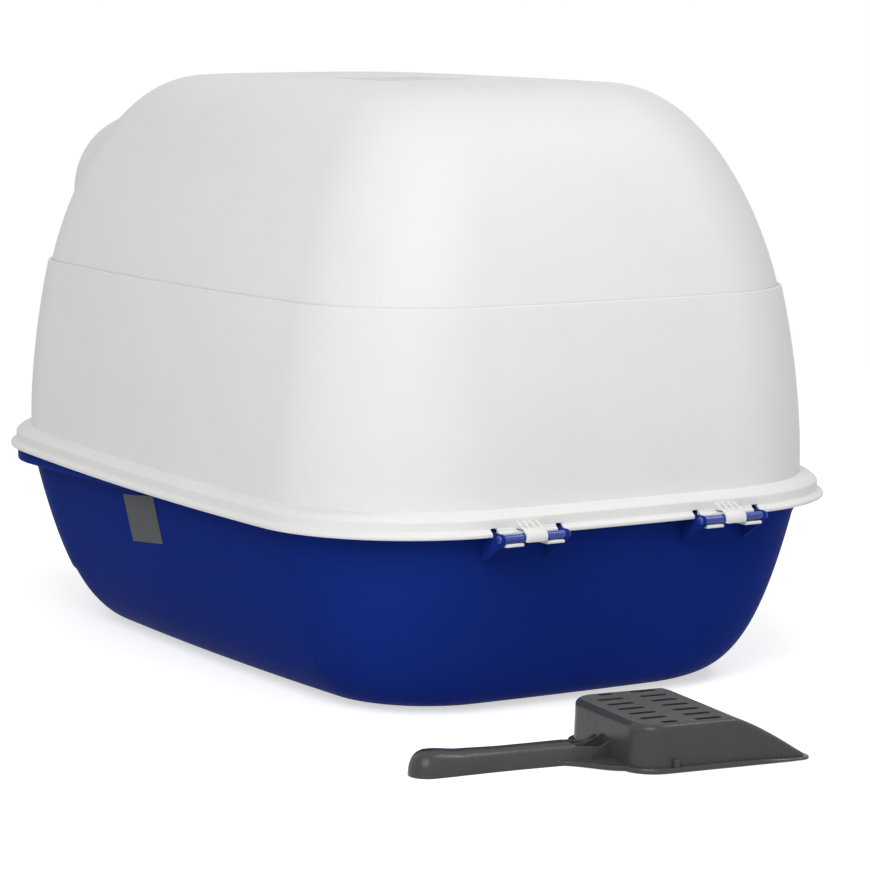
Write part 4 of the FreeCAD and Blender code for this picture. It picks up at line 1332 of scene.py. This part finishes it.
@dataclass
class Scoop:
    """The slotted scoop, lying upside down. Its own x runs from the pan's rear wall to the tip.

    The rim's section is in shares of its width, or millimetres where negative, and shares of its thickness. A
    change along the scoop has an amount, a start and a length, in shares of the grip's length for the grip. The
    grip's first arches bend by the square of their share of the width, less and less over a length.
    """

    place: Point = (89.0, 431.0, 0.0)
    turn: float = 173.0
    length: float = 128.0
    half: float = 58.5
    height: float = 32.6
    flat: float = 73.0
    fall: float = 1.25
    tip: float = 2.6
    wall: float = 2.0
    corner: float = 20.0
    tip_corner: float = 5.0
    crown: float = 4.5
    draft: float = 2.5
    mouth_points: int = 360
    wall_rings: int = 12
    floor_rings: int = 26
    rim_out: float = 4.0
    rim_thick: float = 3.6
    rim_spare: float = 0.3
    rim_narrowing: Point = (0.3, 110.0, 18.0)
    rim_thinning: Point = (0.45, 80.0, 42.0)
    rim_section: tuple[Spot, ...] = ((-1.2, 0.0), (0.8, 0.0), (1.0, 0.25), (1.0, 0.75), (0.85, 1.0), (0.1, 1.0),
                                     (-1.2, 0.95))
    nub: tuple[Spot, Spot, Spot] = ((25.0, 29.5), (-3.4, 1.0), (2.0, 9.0))
    slot_skin: float = 0.8
    slot_room: float = 5.0
    slot_rows: int = 2
    slot_count: int = 7
    slot_size: Spot = (20.5, 5.4)
    slot_pitch: float = 16.3
    row_pitch: float = 33.3
    slot_start: float = 13.0
    slot_short: float = 8.5
    neck: float = -24.0
    neck_in: float = 0.6
    neck_flare: Point = (31.0, -14.0, 36.0)
    web_thick: float = 2.0
    knob: float = -129.0
    grip_half: float = 13.0
    grip_waist: float = 1.4
    waist_share: float = 0.85
    grip_tall: float = 14.9
    grip_rise: Point = (0.9, 0.45, 0.4)
    knob_widening: Point = (0.4, 0.78, 0.2)
    knob_rise: Point = (1.8, 0.78, 0.2)
    knob_power: float = 0.8
    arch_bend: Point = (14.0, 5.0, 24.0)
    grip_wall: float = 2.2
    grip_power: float = 0.85
    hole: float = 4.0
    level_normal: float = 0.97
    level_depth: float = 0.5

    def top_at(self, x: Array) -> Array:
        """The floor's height: level, then falling to the tip by a power of the distance."""
        share = np.clip((x - self.flat) / (self.length - self.flat), 0.0, 1.0)
        return self.height + (self.tip - self.height) * share ** self.fall

    def mouth(self) -> Array:
        """The pan's outline at its mouth."""
        radii = [self.corner, self.tip_corner, self.tip_corner, self.corner]
        return even(oblong((0.0, -self.half), (self.length, self.half), radii, 12), self.mouth_points)

    def pan(self) -> Surface:
        """The pan's outer skin: a leaning wall, a round crown and a floor drawn in to its middle.

        Returns:
            An open skin, from the mouth to the middle of the floor.
        """
        base = self.mouth()
        normal = outward(base)
        lean = math.tan(math.radians(self.draft))
        top = self.top_at(base[:, 0])
        crown = np.minimum(self.crown, 0.6 * top)
        wall_z = (top - crown)[None] * np.linspace(0.0, 1.0, self.wall_rings)[:, None]
        wall = base[None] - normal[None] * (wall_z * lean)[..., None]
        a = quarter(8)[1:, None]
        shift = ((top - crown) * lean)[None] + crown[None] * (1 - np.cos(a))
        bend = base[None] - normal[None] * shift[..., None]
        middle = np.array([self.length / 2, 0.0])
        share = np.linspace(0.96, 0.04, self.floor_rings)[:, None, None]
        floor = middle + (bend[-1][None] - middle) * share
        bend_z = self.top_at(bend[..., 0]) - crown[None] * (1 - np.sin(a))
        flat = np.concatenate([wall, bend, floor])
        z = np.concatenate([wall_z, bend_z, self.top_at(floor[..., 0])])
        return skin(raised(flat, z), last_pole=True)

    def rim(self) -> Surface:
        """The flange round the mouth: a rounded bar carried along the outline, narrower and thinner at the tip.

        Returns:
            The surface.
        """
        base = self.mouth()
        normal = outward(base)
        wide = self.rim_out * (1 - change(base[:, 0], self.rim_narrowing)) + self.rim_spare
        thick = self.rim_thick * (1 - change(base[:, 0], self.rim_thinning))
        rings = []
        for out, up in self.rim_section:
            reach = np.full_like(wide, out) if out < 0 else wide * out
            rings.append(raised(base + normal * reach[:, None], thick * up))
        return skin(np.stack(rings), loop=True)

    def neck_plate(self) -> Surface:
        """The flange's tongue to the handle, its two edges S-shaped.

        Returns:
            The surface.
        """
        x = np.linspace(self.neck - 16.0, 1.0, 30)
        y = self.grip_half - self.neck_in + change(x - self.neck, self.neck_flare)
        outline = np.concatenate([np.stack([x, -y], -1), np.stack([x[::-1], y[::-1]], -1)])
        return plate(outline, 0.1, self.rim_thick - 0.2, Axis.Z, 0.6)

    def fins(self) -> list[Surface]:
        """The neck's webs: a tall one in the middle and a lower, hollowed one at each side; and the rim's nub.

        Returns:
            One surface for each of them.
        """
        n, thick, out = self.neck, self.web_thick, self.grip_half - 0.4
        middle = rounded([(n - 8, 1.0), (1.5, 1.0), (1.5, 18.0), (-6.0, 14.0), (n, 11.0)],
                         [0.4, 0.4, 0.4, 2.0, 3.0])
        side = rounded([(n - 6, 1.0), (1.5, 1.0), (1.5, 15.0), (-7.0, 10.6), (n + 2, 12.4), (n - 2, 10.0)],
                       [0.4, 0.4, 0.4, 9.0, 2.0, 1.0])
        webs = ((middle, -thick / 2), (side, -out), (side, out - thick))
        (x0, x1), (y0, y1), (z0, z1) = self.nub
        nub = slab((x0, -self.half + y0, z0), (x1, -self.half + y1, z1), 1.0)
        return [plate(outline, start, start + thick, Axis.Y) for outline, start in webs] + [nub]

    def grip(self) -> Surface:
        """The handle's outer skin: arches along its length, closed by a round knob.

        An arch at the angle a has y = W cos a and z = H sin a, both to the grip's power in size. Width and
        height follow the length, and shrink as a circle at the knob.

        Returns:
            An open skin from the neck to the knob.
        """
        past = np.sin(np.linspace(0.0, math.pi / 2 - 0.02, 24))[1:]
        run = np.concatenate([np.linspace(self.neck, self.knob, 60), self.knob - self.grip_half * past])
        along = np.clip((run - self.neck) / (self.knob - self.neck), 0.0, 1.0)
        close = np.sqrt(1 - np.clip((self.knob - run) / self.grip_half, 0.0, 0.9999) ** 2)
        waist = self.grip_waist * np.sin(math.pi * np.clip(along / self.waist_share, 0, 1))
        wide = (self.grip_half - waist + change(along, self.knob_widening)) * close
        tall = self.grip_tall + change(along, self.grip_rise) + change(along, self.knob_rise)
        a = np.linspace(math.pi, 0.0, 49)
        y = np.sign(np.cos(a)) * np.abs(np.cos(a)) ** self.grip_power
        z = np.abs(np.sin(a)) ** self.grip_power
        bend, back, over = self.arch_bend
        fade = np.clip(1 - (self.neck - run[:, None]) / over, 0.0, 1.0)
        x = run[:, None] + (bend * y[None] ** 2 - back) * fade
        tall = tall * close ** self.knob_power
        return skin(np.stack([x, wide[:, None] * y[None], tall[:, None] * z[None]], -1), around=False)

    def slots(self, wider: float, low: float, high: float) -> Surface:
        """The floor's slots as rooms to cut out; the end slots of the first row start later.

        Args:
            wider: how much larger than the slots the rooms are.
            low: where the rooms start.
            high: where they end.

        Returns:
            The rooms as one surface.
        """
        rooms = []
        length, width = self.slot_size
        for row in range(self.slot_rows):
            for n in range(self.slot_count):
                late = self.slot_short if row == 0 and n in (0, self.slot_count - 1) else 0.0
                at = (self.slot_start + row * self.row_pitch + (length + late) / 2,
                      (n - (self.slot_count - 1) / 2) * self.slot_pitch)
                rooms.append(room(stadium(length - late + wider, width + wider, at), low, high, Axis.Z))
        return together(*rooms)

    def texture_and_paint_top_light(self, piece: Thing) -> None:
        """Gives the level outer face of the pan's floor its textured matte finish, in a lighter colour that is
        painted light from above.

        Args:
            piece: the scoop.
        """
        mesh = piece.data
        normal, centre = np.empty((2, len(mesh.polygons) * 3))
        mesh.polygons.foreach_get("normal", normal)
        mesh.polygons.foreach_get("center", centre)
        # The level top faces take the lighter colour: painted light from above.
        level = (normal[2::3] > self.level_normal) & (centre[2::3] > (self.height - self.level_depth) * MM)
        mesh.materials.append(SCOOP_TEXTURED_PAINTED_LIGHT.material())
        mesh.polygons.foreach_set("material_index", level.astype(np.int32))
        mesh.update()

    def laid(self, surface: Surface) -> Surface:
        """A surface turned and moved to where the scoop lies."""
        return surface.turned(self.turn, self.place)

    def build(self) -> None:
        """Makes and dresses the scoop."""
        pan = raw_object("scoop_moulding", self.laid(self.pan()))
        thicken(pan, self.wall)
        skin_z = self.height - self.slot_skin
        cut(pan, self.laid(self.slots(self.slot_room, self.height / 2, skin_z)))
        cut(pan, self.laid(self.slots(0.0, skin_z - 1.0, self.height + 5.0)))
        grip = raw_object("grip", self.laid(self.grip()))
        thicken(grip, self.grip_wall)
        cut(grip, self.laid(room(circle(self.hole, (self.knob, 0.0)), -5.0, 40.0, Axis.Z)))
        extra = together(self.rim(), self.neck_plate(), *self.fins())
        join(pan, grip, raw_object("extra", self.laid(extra)))
        dress(pan, SCOOP_GREY, "scoop", Slot.SCOOP, "scoop")
        # Painted light: the level top gets a lighter grey than the sides.
        self.texture_and_paint_top_light(pan)


@dataclass
class Studio:
    """The plain pale floor, the soft lamps and the camera."""

    camera_at: Point = (1378.9, 2407.0, 533.6)
    right: Point = (-0.8626, 0.5059, 0.0)
    back: Point = (0.5015, 0.8552, 0.1309)
    lens: float = 145.78
    sensor: float = 36.0
    clip: Spot = (0.05, 100.0)
    floor_half: float = 6000.0
    floor_z: float = -0.3
    floor_tone: float = 0.82
    floor_lift: float = 0.60
    floor_fade: Spot = (0.9, 2.2)
    ambient: float = 0.30
    aim: Point = (0.0, 0.0, 200.0)

    def stand(self, name: str, data: bpy.types.ID, at: Point, right: Array, back: Array) -> Thing:
        """Puts a camera or a lamp into the scene.

        Args:
            name: its name.
            data: its settings.
            at: its place in millimetres.
            right: the direction to its right.
            back: the direction behind it.

        Returns:
            The object.
        """
        made = linked(name, data)
        turn = np.eye(4)
        turn[:3, :3] = np.stack([right, np.cross(back, right), back], 1)
        turn[:3, 3] = np.array(at) * MM
        made.matrix_world = Matrix(turn.tolist())
        return made

    def camera(self) -> None:
        """Sets up the camera at the photograph's place, looking along its own axis."""
        data = bpy.data.cameras.new("camera")
        data.lens, data.sensor_width, data.sensor_fit = self.lens, self.sensor, "HORIZONTAL"
        data.clip_start, data.clip_end = self.clip
        back = unit(np.array(self.back))
        right = unit(np.array(self.right) - back * np.dot(self.right, back))
        bpy.context.scene.camera = self.stand("camera", data, self.camera_at, right, back)

    def lamp(self, name: str, at: Point, size: float, watts: float) -> None:
        """A square soft lamp that faces the box.

        Args:
            name: the lamp's name.
            at: its place in millimetres.
            size: its side in millimetres.
            watts: its power.
        """
        data = bpy.data.lights.new(name, "AREA")
        data.size, data.energy = size * MM, watts
        back = unit(np.array(at) - np.array(self.aim))
        self.stand(name, data, at, unit(np.cross([0.0, 0.0, 1.0], back)), back)

    def floor_material(self) -> bpy.types.Material:
        """A white floor that keeps shadows: matte, plus a share of plain white where it is seen.

        The camera and see-through pieces get the sum, which fades to plain white far out. Reflections get plain
        white, and the rest the matte alone.

        Returns:
            The material.
        """
        made = bpy.data.materials.new("studio_floor")
        made.use_nodes = True
        nodes = Nodes(made.node_tree)
        path = nodes.add("ShaderNodeLightPath")
        matte = nodes.wired("ShaderNodeBsdfDiffuse", Color=(*[self.floor_tone] * 3, 1.0))
        lift = nodes.wired("ShaderNodeEmission", Strength=self.floor_lift)
        plain = nodes.wired("ShaderNodeEmission", Strength=1.0)
        both = nodes.wired("ShaderNodeAddShader", matte, lift)
        place = nodes.add("ShaderNodeTexCoord").outputs["Object"]
        away = nodes.wired("ShaderNodeVectorMath", place, out="Value", operation="LENGTH")
        near, far = self.floor_fade
        fade = nodes.wired("ShaderNodeMapRange", away, From_Min=near, From_Max=far, To_Min=0.0, To_Max=1.0)
        seen = nodes.wired("ShaderNodeMixShader", fade, both, plain)
        through = nodes.larger(path.outputs["Is Camera Ray"], path.outputs["Is Transmission Ray"])
        direct = nodes.wired("ShaderNodeMixShader", through, matte, seen)
        chosen = nodes.wired("ShaderNodeMixShader", path.outputs["Is Glossy Ray"], direct, plain)
        nodes.link(chosen, nodes.add("ShaderNodeOutputMaterial").inputs["Surface"])
        return made

    def floor(self) -> None:
        """Lays the floor just under the box."""
        h, z = self.floor_half, self.floor_z
        points = np.array([[-h, -h, z], [h, -h, z], [h, h, z], [-h, h, z]])
        made = raw_object("studio_floor", Surface(points, [[0, 1, 2, 3]]))
        made.data.materials.append(self.floor_material())

    def world(self) -> None:
        """A white surround for the camera and for reflections, and an even soft light for the rest."""
        world = bpy.data.worlds.new("studio")
        world.use_nodes = True
        bpy.context.scene.world = world
        nodes = Nodes(world.node_tree)
        path = nodes.add("ShaderNodeLightPath")
        soft = nodes.wired("ShaderNodeBackground", Color=WHITE, Strength=self.ambient)
        white = nodes.wired("ShaderNodeBackground", Color=WHITE, Strength=1.0)
        through = nodes.larger(path.outputs["Is Camera Ray"], path.outputs["Is Transmission Ray"])
        rays = nodes.larger(through, path.outputs["Is Glossy Ray"])
        chosen = nodes.wired("ShaderNodeMixShader", rays, soft, white)
        nodes.link(chosen, nodes.add("ShaderNodeOutputWorld").inputs["Surface"])

    def build(self) -> None:
        """Sets up floor, surround, lamps and camera."""
        self.floor()
        self.world()
        self.lamp("key", (2250.0, 2450.0, 2550.0), 2600.0, 105.0)
        self.lamp("fill", (-1700.0, 1300.0, 3000.0), 900.0, 27.0)
        self.camera()
        bpy.context.scene.view_settings.view_transform = "Standard"


def main() -> None:
    """Builds every sub-assembly in order."""
    hinge, latch, entrance, door = Hinge(), Latch(), Entrance(), DoorFlap()
    for part in (Tray(hinge), HoodSkirt(hinge, latch, entrance), Dome(entrance, door), door, latch,
                 OdourFilter(), Scoop(), Studio()):
        part.build()
        LOG.info("%s done", type(part).__name__)


if __name__ == "__main__":
    main()
